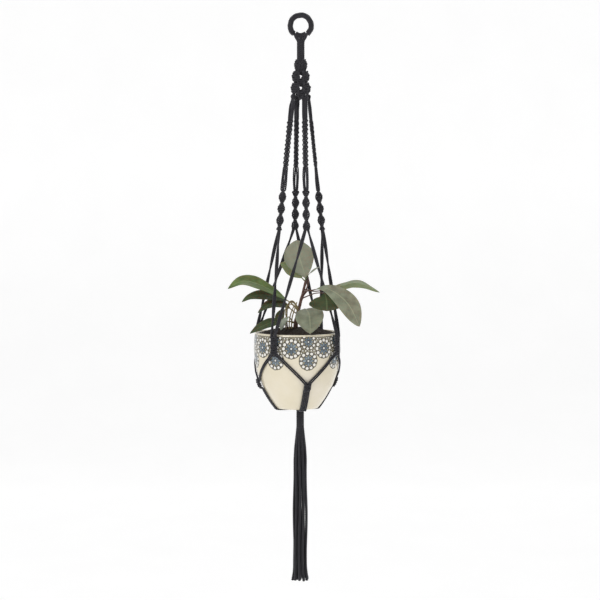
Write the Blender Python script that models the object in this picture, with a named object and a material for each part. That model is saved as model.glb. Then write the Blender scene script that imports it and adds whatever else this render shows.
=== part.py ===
"""Hanging macrame planter: a knotted cord hanger on a ring, with a glazed pot and its plant.

Metres, +Z up. The origin is the inside top of the ring, where a hook bears. The front
of the planter faces -Y, and azimuths are counted from the front towards +X.
"""

import math

import bmesh
import bpy
from mathutils import Matrix, Vector

for old in list(bpy.data.objects):
    bpy.data.objects.remove(old, do_unlink=True)

MM = 0.001
GAP = 0.35 * MM  # air between two pieces that touch

# ---- driving dimensions ------------------------------------------------------
CORD = 3.4 * MM  # one macrame cord
RING_MAJOR = 19.2 * MM  # centre line of the ring
RING_CORE = 3.0 * MM  # bare ring
RING_WRAP = 4.8 * MM  # ring with its cord wrapping
RING_Z = -14.4 * MM  # ring centre: the wrapped inside is at the origin
WRAP_OPEN = 36.0  # half angle at the ring's bottom left free for the loops
LOOP_HALF = 22.0  # half angle that the loops take up
TILT_MAX = 35.0  # swing of the hanger on its ring, degrees

NECK_TOP, NECK_BOTTOM = -44.4 * MM, -74.8 * MM
NECK_R = 6.6 * MM
CROWN_TOP, CROWN_BOTTOM = -75.2 * MM, -145.0 * MM

LEG_AZ = {"front": 15.0, "right": 105.0, "back": 195.0, "left": 285.0}
LEG_TOP_R, LEG_TOP_Z = 14.5 * MM, -145.9 * MM
LEG_END_R, LEG_END_Z = 41.0 * MM, -385.0 * MM
LEG_SINNET = (42.0 * MM, 123.0 * MM)  # square knots, measured down the leg
LEG_SPIRAL = 171.0 * MM  # half knots start here and run to the leg's end
SQUARE_PITCH = 8.0 * MM
SPIRAL_HALF_TURN = 21.5 * MM

KNOT_AZ = {"front_left": -30.0, "front_right": 60.0, "back_right": 150.0, "back_left": 240.0}
KNOT_TOP, KNOT_BOTTOM = -577.0 * MM, -611.5 * MM
KNOT_OUT = 7.4 * MM  # half width round the pot
KNOT_DEEP = 4.6 * MM  # half depth, off the pot
LOW_KNOT_Z = -670.0 * MM
LOW_KNOT_HALF = 6.0 * MM
BRANCH_R = 3.1 * MM  # two cords twisted together
BRANCH_OFF = 3.7 * MM  # half the spacing of two branches at a knot

POT_X = -6.5 * MM  # the pot hangs a little left of the ring
RIM_Z = -575.6 * MM
POT_WALL = 4.6 * MM
# outer radius against depth below the rim, mm: a full belly on a narrow foot
POT_OUTLINE = [(0.0, 77.6), (2.2, 78.6), (15, 79.3), (33, 79.9), (55, 78.0), (74, 74.2), (96, 66.8), (120, 53.1), (133, 44.3), (140, 38.7)]

GATHER_X = -1.0 * MM
GATHER_TOP, GATHER_BOTTOM = -720.6 * MM, -754.0 * MM
GATHER_R = 7.4 * MM
TAIL_END = -1040.0 * MM
STRAP_HALF = 6.6 * MM  # four cords side by side
SOIL_RISE = 8.0 * MM  # mound above the rim's plane


# ---- materials ----------------------------------------------------------------
def material(name, colour, roughness, metallic=0.0):
    m = bpy.data.materials.new(name)
    m.use_nodes = True
    p = m.node_tree.nodes["Principled BSDF"]
    p.inputs["Base Color"].default_value = (*colour, 1.0)
    p.inputs["Roughness"].default_value = roughness
    p.inputs["Metallic"].default_value = metallic
    return m


def new_cord():
    return material("black_cord", (0.018, 0.018, 0.021), 0.85)


# ---- building helpers -----------------------------------------------------------
def out_dir(az):
    a = math.radians(az)
    return Vector((math.sin(a), -math.cos(a), 0.0))


def side_dir(az):
    a = math.radians(az)
    return Vector((math.cos(a), math.sin(a), 0.0))


def axis_empty(name, at):
    e = bpy.data.objects.new(name, None)
    e.location = at
    bpy.context.scene.collection.objects.link(e)
    return e


def place(ob, parent):
    bpy.context.scene.collection.objects.link(ob)
    if parent is not None:
        ob.parent = parent
        ob.matrix_parent_inverse = Matrix.Translation(-parent.location)
    return ob


def from_bmesh(name, bm, mat, parent, sharp=40.0):
    bmesh.ops.recalc_face_normals(bm, faces=bm.faces[:])
    me = bpy.data.meshes.new(name)
    bm.to_mesh(me)
    bm.free()
    me.materials.append(mat)
    me.shade_smooth()
    me.set_sharp_from_angle(angle=math.radians(sharp))
    return place(bpy.data.objects.new(name, me), parent)


def turned(profile, steps, closed):
    """Spins a profile of (radius, height) about Z; closed joins its two ends."""
    bm = bmesh.new()
    vs = [bm.verts.new((r, 0.0, z)) for r, z in profile]
    es = [bm.edges.new(p) for p in zip(vs, vs[1:])]
    if closed:
        es.append(bm.edges.new((vs[-1], vs[0])))
    bmesh.ops.spin(bm, geom=vs + es, cent=(0, 0, 0), axis=(0, 0, 1), angle=math.tau, steps=steps, use_merge=True)
    bmesh.ops.remove_doubles(bm, verts=bm.verts[:], dist=1e-6)
    return bm


def lofted(sections, holes=None):
    """Extrudes the first section through all the others. holes gives each one's inner ring."""
    bm = bmesh.new()
    rings = [list(s) + list(holes[i] if holes else []) for i, s in enumerate(sections)]
    n = len(sections[0])
    vs = [bm.verts.new(p) for p in rings[0]]
    if holes:
        cap = [bm.faces.new((vs[i], vs[(i + 1) % n], vs[n + (i + 1) % n], vs[n + i])) for i in range(n)]
    else:
        cap = [bm.faces.new(vs)]
    for ring in rings[1:]:
        order = {tuple(v.co): i for i, v in enumerate(vs)}
        old = cap
        made = bmesh.ops.extrude_face_region(bm, geom=cap)["geom"]
        if ring is not rings[1]:  # only the first section's faces stay, as the start cap
            bmesh.ops.delete(bm, geom=[f for f in old if f.is_valid], context="FACES_ONLY")
        new = [g for g in made if isinstance(g, bmesh.types.BMVert)]
        cap = [g for g in made if isinstance(g, bmesh.types.BMFace)]
        vs = [None] * len(new)
        for v in new:
            vs[order[tuple(v.co)]] = v
        for v, p in zip(vs, ring):
            v.co = p
    return bm


def smooth_path(points, steps):
    """Catmull-Rom through the points, steps samples to each span."""
    pts = [Vector(p) for p in points]
    pts = [2 * pts[0] - pts[1]] + pts + [2 * pts[-1] - pts[-2]]
    out = []
    for i in range(1, len(pts) - 2):
        a, b, c, d = pts[i - 1 : i + 3]
        for k in range(steps):
            t = k / steps
            out.append(0.5 * (2 * b + (c - a) * t + (2 * a - 5 * b + 4 * c - d) * t**2 + (3 * b - a - 3 * c + d) * t**3))
    out.append(pts[-2].copy())
    return out


def cord_tube(name, points, radius, mat, parent):
    cu = bpy.data.curves.new(name, "CURVE")
    cu.dimensions = "3D"
    cu.bevel_depth = radius
    cu.bevel_resolution = 2
    cu.use_fill_caps = True
    sp = cu.splines.new("POLY")
    sp.points.add(len(points) - 1)
    for p, at in zip(sp.points, points):
        p.co = (*at, 1.0)
    sp.use_smooth = True
    cu.materials.append(mat)
    return place(bpy.data.objects.new(name, cu), parent)


def oval(centre, u, v, a, b, n, turn=0.0):
    return [
        centre + u * (a * math.cos(t) * math.cos(turn) - b * math.sin(t) * math.sin(turn))
        + v * (a * math.cos(t) * math.sin(turn) + b * math.sin(t) * math.cos(turn))
        for t in (math.tau * i / n for i in range(n))
    ]


def outline_radius(z):
    """The pot's outer radius at a height."""
    d = (RIM_Z - z) / MM
    if d <= 0:
        return POT_OUTLINE[0][1] * MM
    for (d0, r0), (d1, r1) in zip(POT_OUTLINE, POT_OUTLINE[1:]):
        if d <= d1:
            return (r0 + (r1 - r0) * (d - d0) / (d1 - d0)) * MM
    return POT_OUTLINE[-1][1] * MM


# ---- the frame's joint axes --------------------------------------------------------
LOOP_Z = RING_Z - RING_MAJOR
tilt_axis = axis_empty("axis_ring_tilt", (0, 0, LOOP_Z))
twist_axis = axis_empty("axis_hanger_twist", (0, 0, NECK_TOP))
pot_axis = axis_empty("axis_pot_turn", (POT_X, 0, RIM_Z))
tail_axis = axis_empty("axis_tail_sway", (GATHER_X, 0, GATHER_BOTTOM - GAP - GATHER_R))


# ---- ring -----------------------------------------------------------------------------
def ring_section(phi, r, n, squash=1.0):
    """A section of the ring's tube, at an angle from its bottom."""
    a = math.radians(phi)
    out = Vector((math.sin(a), 0.0, -math.cos(a)))
    return oval(Vector((0, 0, RING_Z)) + out * RING_MAJOR, out, Vector((0, 1, 0)), r, r * squash, n)


core = bmesh.new()
circle = [core.verts.new(p) for p in ring_section(0, RING_CORE, 8)]
ring_edges = [core.edges.new((circle[i], circle[(i + 1) % 8])) for i in range(8)]
bmesh.ops.spin(core, geom=circle + ring_edges, cent=(0, 0, RING_Z), axis=(0, 1, 0), angle=math.tau, steps=32, use_merge=True)
bmesh.ops.remove_doubles(core, verts=core.verts[:], dist=1e-6)
from_bmesh("ring_core", core, material("ring_metal", (0.03, 0.03, 0.03), 0.4, 0.8), None)

wrap_angles = [WRAP_OPEN + (360 - 2 * WRAP_OPEN) * i / 20 for i in range(21)]
from_bmesh(
    "ring_wrap",
    lofted(
        [ring_section(p, RING_WRAP, 8) for p in wrap_angles],
        [ring_section(p, RING_CORE + 1.5 * GAP, 8) for p in wrap_angles],
    ),
    new_cord(),
    None,
)


# ---- loops on the ring, and the neck -----------------------------------------------------
def loop_section(phi, wall):
    """Round the ring's tube, with room in Y for the ring to tilt."""
    a = math.radians(phi)
    sway = RING_MAJOR * (1 - math.cos(a)) * math.sin(math.radians(TILT_MAX))
    r = RING_CORE + 0.5 * MM + wall
    out = Vector((math.sin(a), 0.0, -math.cos(a)))
    return oval(Vector((0, 0, RING_Z)) + out * RING_MAJOR, out, Vector((0, 1, 0)), r + 0.2 * sway, r + sway, 12)


loop_angles = [LOOP_HALF * (i / 4 - 1) for i in range(9)]
loops = from_bmesh(
    "ring_loops",
    lofted([loop_section(p, 2.9 * MM) for p in loop_angles], [loop_section(p, 0) for p in loop_angles]),
    new_cord(),
    tilt_axis,
)
stub_rings = [
    oval(Vector((0, 0, z)), Vector((1, 0, 0)), Vector((0, 1, 0)), a, b, 12)
    for z, a, b in ((NECK_TOP + GAP, NECK_R, NECK_R), (-41.5 * MM, 7.0 * MM, 6.4 * MM), (-38.2 * MM, 7.2 * MM, 5.8 * MM))
]
stub = from_bmesh("cut_loops_stem", lofted(stub_rings), new_cord(), None)
stub.hide_render = True
stub.display_type = "WIRE"
join = loops.modifiers.new("stem", "BOOLEAN")
join.operation = "UNION"
join.solver = "EXACT"
join.object = stub

from_bmesh(
    "neck_cords",
    turned([(0, NECK_TOP), (NECK_R, NECK_TOP), (NECK_R + 0.2 * MM, -60 * MM), (NECK_R, NECK_BOTTOM), (0, NECK_BOTTOM)], 16, False),
    new_cord(),
    twist_axis,
)

# ---- crown: rings of square knots that widen downwards, hollow and open below ---------------
crown_outer = [(6.4, 75.2), (10.2, 84), (9.4, 95), (14.4, 108), (12.0, 117), (17.0, 128), (15.6, 137), (19.2, 145)]
crown_inner = [(11.0, 145), (8.6, 137), (9.0, 126), (5.6, 116), (5.0, 106), (0.0, 98)]
from_bmesh(
    "crown_knots",
    turned([(0, CROWN_TOP)] + [(r * MM, -z * MM) for r, z in crown_outer + crown_inner], 16, False),
    new_cord(),
    twist_axis,
    70,
)

# ---- legs -----------------------------------------------------------------------------------
LEG_LENGTH = math.hypot(LEG_END_R - LEG_TOP_R, LEG_END_Z - LEG_TOP_Z)
LEG_THICK, LEG_THIN = 4.1 * MM, 2.4 * MM
SLEEVE_BORE = LEG_THIN + 1.5 * GAP
s1, s2, s3 = LEG_SINNET[0], LEG_SINNET[1], LEG_SPIRAL
bar_profile = [(0, 0), (LEG_THICK, 0), (LEG_THICK + 0.3 * MM, s1 / 2), (LEG_THICK, s1), (LEG_THIN, s1), (LEG_THIN, s2), (LEG_THICK, s2), (LEG_THICK + 0.8 * MM, (s2 + s3) / 2), (LEG_THICK, s3), (LEG_THIN, s3), (LEG_THIN, LEG_LENGTH), (0, LEG_LENGTH)]

knots = int(round((s2 - s1) / SQUARE_PITCH))
sleeve = [(SLEEVE_BORE, s1 + GAP)]
for k in range(knots):
    a = s1 + GAP + (s2 - s1 - 2 * GAP) * k / knots
    b = s1 + GAP + (s2 - s1 - 2 * GAP) * (k + 0.5) / knots
    sleeve += [(4.5 * MM, a), (5.6 * MM, b)]
sleeve += [(4.5 * MM, s2 - GAP), (SLEEVE_BORE, s2 - GAP)]

spiral_steps = 14
spiral_outer, spiral_inner = [], []
for k in range(spiral_steps + 1):
    s = s3 + GAP + (LEG_LENGTH - s3 - GAP) * k / spiral_steps
    turn = math.pi * (s - s3) / SPIRAL_HALF_TURN
    at = Vector((0, 0, -s))
    spiral_outer.append(oval(at, Vector((1, 0, 0)), Vector((0, 1, 0)), 6.4 * MM, 3.9 * MM, 8, turn))
    spiral_inner.append(oval(at, Vector((1, 0, 0)), Vector((0, 1, 0)), SLEEVE_BORE, SLEEVE_BORE, 8, turn))


def along_leg(ob, az):
    """Stands a piece made down its own -Z along one leg."""
    o = out_dir(az)
    top = o * LEG_TOP_R + Vector((0, 0, LEG_TOP_Z))
    end = o * LEG_END_R + Vector((0, 0, LEG_END_Z))
    up = (top - end).normalized()
    x = side_dir(az)
    y = up.cross(x)
    ob.location = top
    ob.rotation_euler = Matrix((x, y, up)).transposed().to_euler()


for side, az in LEG_AZ.items():
    bar = turned([(r, -s) for r, s in bar_profile], 8, False)
    along_leg(from_bmesh(f"leg_{side}_cords", bar, new_cord(), twist_axis), az)
    knotted = turned([(r, -s) for r, s in sleeve], 8, True)
    along_leg(from_bmesh(f"leg_{side}_square_knots", knotted, new_cord(), twist_axis, 70), az)
    along_leg(from_bmesh(f"leg_{side}_spiral_knots", lofted(spiral_outer, spiral_inner), new_cord(), twist_axis, 70), az)

# ---- the net round the pot --------------------------------------------------------------------
pot_centre = Vector((POT_X, 0, 0))
KNOT_R = outline_radius(-594 * MM) + GAP + KNOT_DEEP + 0.35 * MM


def knot_at(az, z, radius):
    return pot_centre + out_dir(az) * radius + Vector((0, 0, z))


def knot_rings(half, knots_in_chain):
    """A chain of flat knots, each swelling in its middle, about the origin."""
    rings = []
    steps = knots_in_chain * 2
    for i in range(steps + 1):
        swell = 1.0 if i % 2 else 0.84
        if i in (0, steps):
            swell = 0.72
        rings.append((half - 2 * half * i / steps, swell))
    return [
        oval(Vector((0, 0, z)), Vector((1, 0, 0)), Vector((0, 1, 0)), KNOT_OUT * s, KNOT_DEEP * s, 12)
        for z, s in rings
    ]


for name, az in KNOT_AZ.items():
    half = (KNOT_TOP - KNOT_BOTTOM) / 2
    k = from_bmesh(f"net_knot_upper_{name}", lofted(knot_rings(half, 4)), new_cord(), twist_axis, 70)
    k.location = knot_at(az, (KNOT_TOP + KNOT_BOTTOM) / 2, KNOT_R)
    k.rotation_euler = (0, 0, math.radians(az))

# two branches leave each leg, one to the knot on either side
SIDES = {
    "front": ("front_left", "front_right"),
    "right": ("front_right", "back_right"),
    "back": ("back_right", "back_left"),
    "left": ("back_left", "front_left"),
}
for side, az in LEG_AZ.items():
    for towards, sign in zip(SIDES[side], (-1, 1)):
        kaz = KNOT_AZ[towards]
        a = out_dir(az) * (LEG_END_R + 0.4 * MM) + side_dir(az) * (sign * 3.5 * MM) + Vector((0, 0, LEG_END_Z - 2.2 * MM))
        b = knot_at(kaz, KNOT_TOP + 1.4 * MM, KNOT_R) - side_dir(kaz) * (sign * BRANCH_OFF)
        c = a.lerp(b, 0.5) + Vector((0, 0, -0.6 * MM))
        cord_tube(f"branch_upper_{side}_to_{towards}", smooth_path([a, c, b], 3), BRANCH_R, new_cord(), twist_axis)

# lower knots, tilted to lie on the pot's belly
SLOPE = math.atan2(outline_radius(LOW_KNOT_Z + 10 * MM) - outline_radius(LOW_KNOT_Z - 10 * MM), 20 * MM)
LOW_R = outline_radius(LOW_KNOT_Z) + (KNOT_DEEP + 2 * GAP) / math.cos(SLOPE)
for side, az in LEG_AZ.items():
    k = from_bmesh(f"net_knot_lower_{side}", lofted(knot_rings(LOW_KNOT_HALF, 1)), new_cord(), twist_axis, 70)
    k.location = knot_at(az, LOW_KNOT_Z, LOW_R)
    k.rotation_euler = (Matrix.Rotation(math.radians(az), 3, "Z") @ Matrix.Rotation(SLOPE, 3, "X")).to_euler()

low_top = LOW_KNOT_Z + (LOW_KNOT_HALF + 3.0 * MM) * math.cos(SLOPE)
for side, az in LEG_AZ.items():
    for start, sign in zip(SIDES[side], (-1, 1)):
        kaz = KNOT_AZ[start]
        turn = (kaz - az + 180) % 360 - 180
        pts = []
        for i in range(8):
            f = i / 7
            z = KNOT_BOTTOM - 2.5 * MM + (low_top - KNOT_BOTTOM + 2.5 * MM) * f
            from_top = math.degrees(BRANCH_OFF / KNOT_R)
            to_low = math.degrees(BRANCH_OFF / LOW_R)
            a = (az + turn - sign * from_top) * (1 - f) + (az + sign * to_low) * f
            r = outline_radius(z) + (BRANCH_R + 2 * GAP) / math.cos(SLOPE * f) + (KNOT_R - outline_radius(z) - BRANCH_R - 2 * GAP) * max(0.0, 1 - 4 * f) * 0.5
            pts.append(knot_at(a, z, r))
        cord_tube(f"branch_lower_{start}_to_{side}", pts, BRANCH_R, new_cord(), twist_axis)

# flat straps of four cords: down the belly, round the foot and in to the gather
gather = Vector((GATHER_X, 0, 0))
foot_z = RIM_Z - POT_OUTLINE[-1][0] * MM
for side, az in LEG_AZ.items():
    path = []
    top = LOW_KNOT_Z - (LOW_KNOT_HALF + 1.0 * MM) * math.cos(SLOPE)
    off = CORD / 2 + 2 * GAP
    for i in range(6):
        z = top + (foot_z + 1.2 * MM - top) * i / 5
        lift = off / math.cos(math.radians(24 + 14 * i / 5))
        path.append(knot_at(az, z, outline_radius(z) + lift))
    edge = pot_centre + out_dir(az) * (POT_OUTLINE[-1][1] * MM)
    path.append(edge + out_dir(az) * 0.7 * off + Vector((0, 0, foot_z - 0.75 * off)))
    inward = (gather - Vector((edge.x, edge.y, 0))).normalized()
    for f in (0.12, 0.5, 1.0):
        end = Vector((gather.x, gather.y, 0)) - inward * 9.0 * MM
        at = Vector((edge.x, edge.y, 0)).lerp(end, f)
        path.append(Vector((at.x, at.y, foot_z - off)))
    sections = []
    for i, p in enumerate(path):
        t = (path[min(i + 1, len(path) - 1)] - path[max(i - 1, 0)]).normalized()
        s = side_dir(az)
        s = (s - t * s.dot(t)).normalized()
        n = s.cross(t)
        w, h = STRAP_HALF, CORD / 2
        if i in (len(path) - 1,):
            w = STRAP_HALF * 0.96
        sections.append([p + s * w - n * h, p + s * w + n * h, p - s * w + n * h, p - s * w - n * h])
    from_bmesh(f"strap_{side}", lofted(sections), new_cord(), twist_axis, 50)

from_bmesh(
    "gather_knot",
    turned(
        [(0, 0)] + [(r * MM, -z * MM) for r, z in ((6.6, 0), (7.6, 3), (7.4, 16), (7.6, 30), (6.8, 33.4))] + [(0, -33.4 * MM)],
        16,
        False,
    ),
    new_cord(),
    twist_axis,
).location = (GATHER_X, 0, GATHER_TOP)

# ---- tail: sixteen cord ends hanging in a tassel, its domed top centred on the sway axis --------
dome = [(GATHER_R * math.sin(a), GATHER_R * math.cos(a)) for a in (math.radians(t) for t in (0, 30, 60, 90))]
length = tail_axis.location.z - TAIL_END
tassel = dome + [(r * MM, -z * length) for r, z in ((9.6, 0.04), (11.0, 0.075), (12.3, 0.18), (12.5, 0.6), (12.6, 0.85), (14.2, 0.93), (17.0, 0.975), (15.5, 1.0), (0, 1.0))]
tail = from_bmesh("tail_fringe", turned(tassel, 12, False), new_cord(), None, 60)
tail.parent = tail_axis

# ---- pot, soil and plant -----------------------------------------------------------------------
glaze = material("cream_glaze", (0.80, 0.73, 0.60), 0.22)
outer = [(r * MM, -d * MM) for d, r in POT_OUTLINE]
inner = [(max(r * MM - POT_WALL, 0), -d * MM) for d, r in reversed(POT_OUTLINE[2:-1])]
floor = -(POT_OUTLINE[-1][0] * MM - 5 * MM)
lip = [(77.6 * MM - 3.8 * MM, -1.5 * MM), (76.6 * MM - 1.6 * MM, 0.0)]
pot_profile = [(0, outer[-1][1])] + outer[::-1] + lip[::-1] + inner[::-1] + [(0, floor)]
pot_profile = [p for p in pot_profile if p[1] >= outer[-1][1] - 1e-9]
pot = from_bmesh("pot", turned(pot_profile, 40, False), glaze, None, 35)
pot.parent = pot_axis

loam = material("potting_soil", (0.045, 0.028, 0.018), 0.95)
room = 1.5 * MM
soil_wall = [(r - room, z) for r, z in inner[::-1]]
soil_top = [(soil_wall[0][0] * f, -4.5 * MM + (SOIL_RISE + 4.5 * MM) * (1 - f**2.4)) for f in (1.0, 0.82, 0.6, 0.3)]
soil_profile = [(0, SOIL_RISE)] + soil_top[::-1] + soil_wall + [(0, floor + room)]
soil_profile = [p for p in soil_profile if p[1] > floor + room - 1e-9]
soil = from_bmesh("soil", turned(soil_profile, 24, False), loam, None, 50)
soil.parent = pot_axis


def frames(path, side):
    """A side and a face direction at each point of a path."""
    out = []
    for i, p in enumerate(path):
        t = (path[min(i + 1, len(path) - 1)] - path[max(i - 1, 0)]).normalized()
        s = (side - t * side.dot(t)).normalized()
        out.append((p, s, t.cross(s)))
    return out


bark = material("plant_stem", (0.10, 0.045, 0.03), 0.7)
STEM = [(-10, 0, -565.0), (-7, -1, -550), (-3, 0, -531), (4, 2, -504), (9, 2, -483)]
stem_path = smooth_path([Vector(p) * MM for p in STEM], 2)
stem_rings = [
    oval(p, s, n, r, r, 8)
    for (p, s, n), r in zip(frames(stem_path, Vector((0, 1, 0))), [(3.4 - 1.9 * i / 8) * MM for i in range(9)])
]
stem = from_bmesh("plant_stem", lofted(stem_rings), bark, pot_axis)

# each leaf: its stalk and midrib in mm from the stem to the tip, the share of it that is
# stalk, the half width of the blade in mm, the direction across the blade and the fold
LEAVES = {
    "leaf_top": ([(9.4, 1.6, -480.6), (5, -3, -461), (-3, -7, -435), (-8, -4, -406)], 0.06, 27, (1, 0.1, -0.1), 0.12),
    "leaf_left_upper": ([(-7.5, -5, -533), (-20, -8, -520), (-53, -12, -499), (-84, -22, -484), (-109, -30, -481), (-133, -36, -494)], 0.16, 17, (0, -0.8, -0.6), 0.15),
    "leaf_left_middle": ([(-8, 4.5, -533), (-23, 6, -519), (-47, 4, -511), (-71, -6, -507), (-93, -14, -510), (-108, -20, -519)], 0.2, 11, (0.1, -0.9, -0.35), 0.1),
    "leaf_left_lower": ([(-9, 2, -541), (-25, 4, -529), (-42, 2, -523), (-60, -2, -526), (-79, -6, -540)], 0.18, 12, (0, -0.75, -0.65), 0.15),
    "leaf_left_rim": ([(-13, -6, -557), (-31, -16, -554), (-47, -22, -555), (-64, -27, -560), (-80, -30, -568), (-93, -32, -576)], 0.25, 10, (0.25, -0.95, -0.12), 0.1),
    "leaf_front": ([(-4, -7, -540), (8, -18, -532), (15, -40, -540), (17, -62, -556), (17, -83, -572)], 0.2, 21, (1, 0, 0.1), 0.18),
    "leaf_right_upper": ([(7.5, 4.5, -497), (28, 12, -501), (56, 16, -496), (82, 17, -490), (99, 16, -486), (117, 12, -489), (146, 6, -503)], 0.3, 13, (0, -0.85, -0.5), 0.12),
    "leaf_right_long": ([(4, -2.5, -505), (11, -26, -499), (23, -52, -495), (43, -68, -491), (66, -78, -501), (88, -80, -523), (106, -74, -560)], 0.32, 14, (0.6, 0.3, 0.75), 0.1),
    "leaf_right_front": ([(1, -3.5, -514), (15, -26, -507), (30, -48, -501), (44, -54, -501), (46, -62, -511), (47, -72, -524), (47, -86, -532)], 0.56, 27, (1, 0, 0), -0.2),
}
for name, (mid, stalk, half, side, fold) in LEAVES.items():
    path = smooth_path([Vector(p) * MM for p in mid], 2)
    run = [0.0]
    for a, b in zip(path, path[1:]):
        run.append(run[-1] + (b - a).length)
    sections = []
    for (p, s, n), d in zip(frames(path, Vector(side)), run):
        u = d / run[-1]
        if u <= stalk:
            w, t = 1.2 * MM, 1.0 * MM
        else:
            v = (u - stalk) / (1 - stalk)
            w = max(half * MM * math.sin(math.pi * v**0.85) ** 0.75 if v < 1 else 0, 0.8 * MM)
            t = (0.9 - 0.4 * v) * MM
        rise = fold * w
        sections.append([
            p - s * w + n * rise, p - s * w * 0.5 + n * (t * 0.5 + rise * 0.5), p + n * t * 0.5, p + s * w * 0.5 + n * (t * 0.5 + rise * 0.5),
            p + s * w + n * rise, p + s * w * 0.5 + n * (rise * 0.5 - t * 0.5), p - n * t * 0.5, p - s * w * 0.5 + n * (rise * 0.5 - t * 0.5),
        ])
    green = material(f"{name}_green", (0.16, 0.22, 0.10), 0.45)
    from_bmesh(name, lofted(sections), green, pot_axis, 60)
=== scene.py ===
"""Looks of the hanging macrame planter: real cords and knots, lace-glazed pot, soil and plant."""
import math

import bmesh
import bpy
import numpy as np
from mathutils import Matrix, Vector


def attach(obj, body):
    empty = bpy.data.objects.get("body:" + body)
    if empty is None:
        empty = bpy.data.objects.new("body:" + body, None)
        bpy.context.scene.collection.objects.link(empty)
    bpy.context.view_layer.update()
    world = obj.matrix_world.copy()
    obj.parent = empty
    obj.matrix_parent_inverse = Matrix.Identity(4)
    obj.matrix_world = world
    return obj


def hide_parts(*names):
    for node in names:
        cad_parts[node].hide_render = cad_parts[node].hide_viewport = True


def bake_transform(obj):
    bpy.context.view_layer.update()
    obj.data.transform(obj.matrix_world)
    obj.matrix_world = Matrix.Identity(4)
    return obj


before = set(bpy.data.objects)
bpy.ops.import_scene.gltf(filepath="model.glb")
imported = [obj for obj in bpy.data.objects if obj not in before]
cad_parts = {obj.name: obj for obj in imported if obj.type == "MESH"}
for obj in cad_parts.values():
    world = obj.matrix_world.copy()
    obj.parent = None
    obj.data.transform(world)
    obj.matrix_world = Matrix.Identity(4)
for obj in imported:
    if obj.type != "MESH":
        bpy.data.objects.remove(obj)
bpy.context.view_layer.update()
MM = 0.001
rng = np.random.default_rng(7)


# ---- camera: the photograph's angle, a little above the pot and looking slightly down ------
CAM_AT = Vector((-0.0013, -3.13, -0.325))
CAM_TO = Vector((-0.0013, 0.0, -0.5165))
cam_data = bpy.data.cameras.new("view")
cam_data.sensor_width = 36.0
cam_data.lens = 36.0 * (CAM_TO - CAM_AT).length / 1.107
cam = bpy.data.objects.new("view", cam_data)
cam.location = CAM_AT
cam.rotation_euler = (CAM_TO - CAM_AT).to_track_quat("-Z", "Y").to_euler()
bpy.context.scene.collection.objects.link(cam)
bpy.context.scene.camera = cam
bpy.context.scene.view_settings.view_transform = "Standard"
bpy.context.scene.view_settings.look = "None"


# ---- dimensions shared with part.py ----------------------------------------------------------
CORD_R = 1.7
RING_MAJOR, RING_Z = 19.2, -14.4
LEG_AZ = {"front": 15.0, "right": 105.0, "back": 195.0, "left": 285.0}
KNOT_AZ = {"front_left": -30.0, "front_right": 60.0, "back_right": 150.0, "back_left": 240.0}
SIDES = {"front": ("front_left", "front_right"), "right": ("front_right", "back_right"),
         "back": ("back_right", "back_left"), "left": ("back_left", "front_left")}
LEG_TOP_R, LEG_TOP_Z, LEG_END_R, LEG_END_Z = 14.5, -145.9, 41.0, -385.0
LEG_LEN = math.hypot(LEG_END_R - LEG_TOP_R, LEG_END_Z - LEG_TOP_Z)
S1, S2, S3 = 42.0, 123.0, 173.0
KNOT_TOP, KNOT_BOTTOM, KNOT_R = -577.0, -611.5, 84.9
POT_X, RIM_Z = -6.5, -575.6
LOW_Z, LOW_R = -670.0, 72.8
GATHER_X = -1.0
OUTLINE = [(0.0, 77.6), (2.2, 78.6), (15, 79.3), (33, 79.9), (55, 78.0), (74, 74.2), (96, 66.8), (120, 53.1), (133, 44.3), (140, 38.7)]


def outline_radius(z):
    d = RIM_Z - np.asarray(z, float)
    return np.interp(d, [p[0] for p in OUTLINE], [p[1] for p in OUTLINE])


def out_dir(az):
    a = math.radians(az)
    return np.array((math.sin(a), -math.cos(a), 0.0))


def side_dir(az):
    a = math.radians(az)
    return np.array((math.cos(a), math.sin(a), 0.0))


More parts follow.
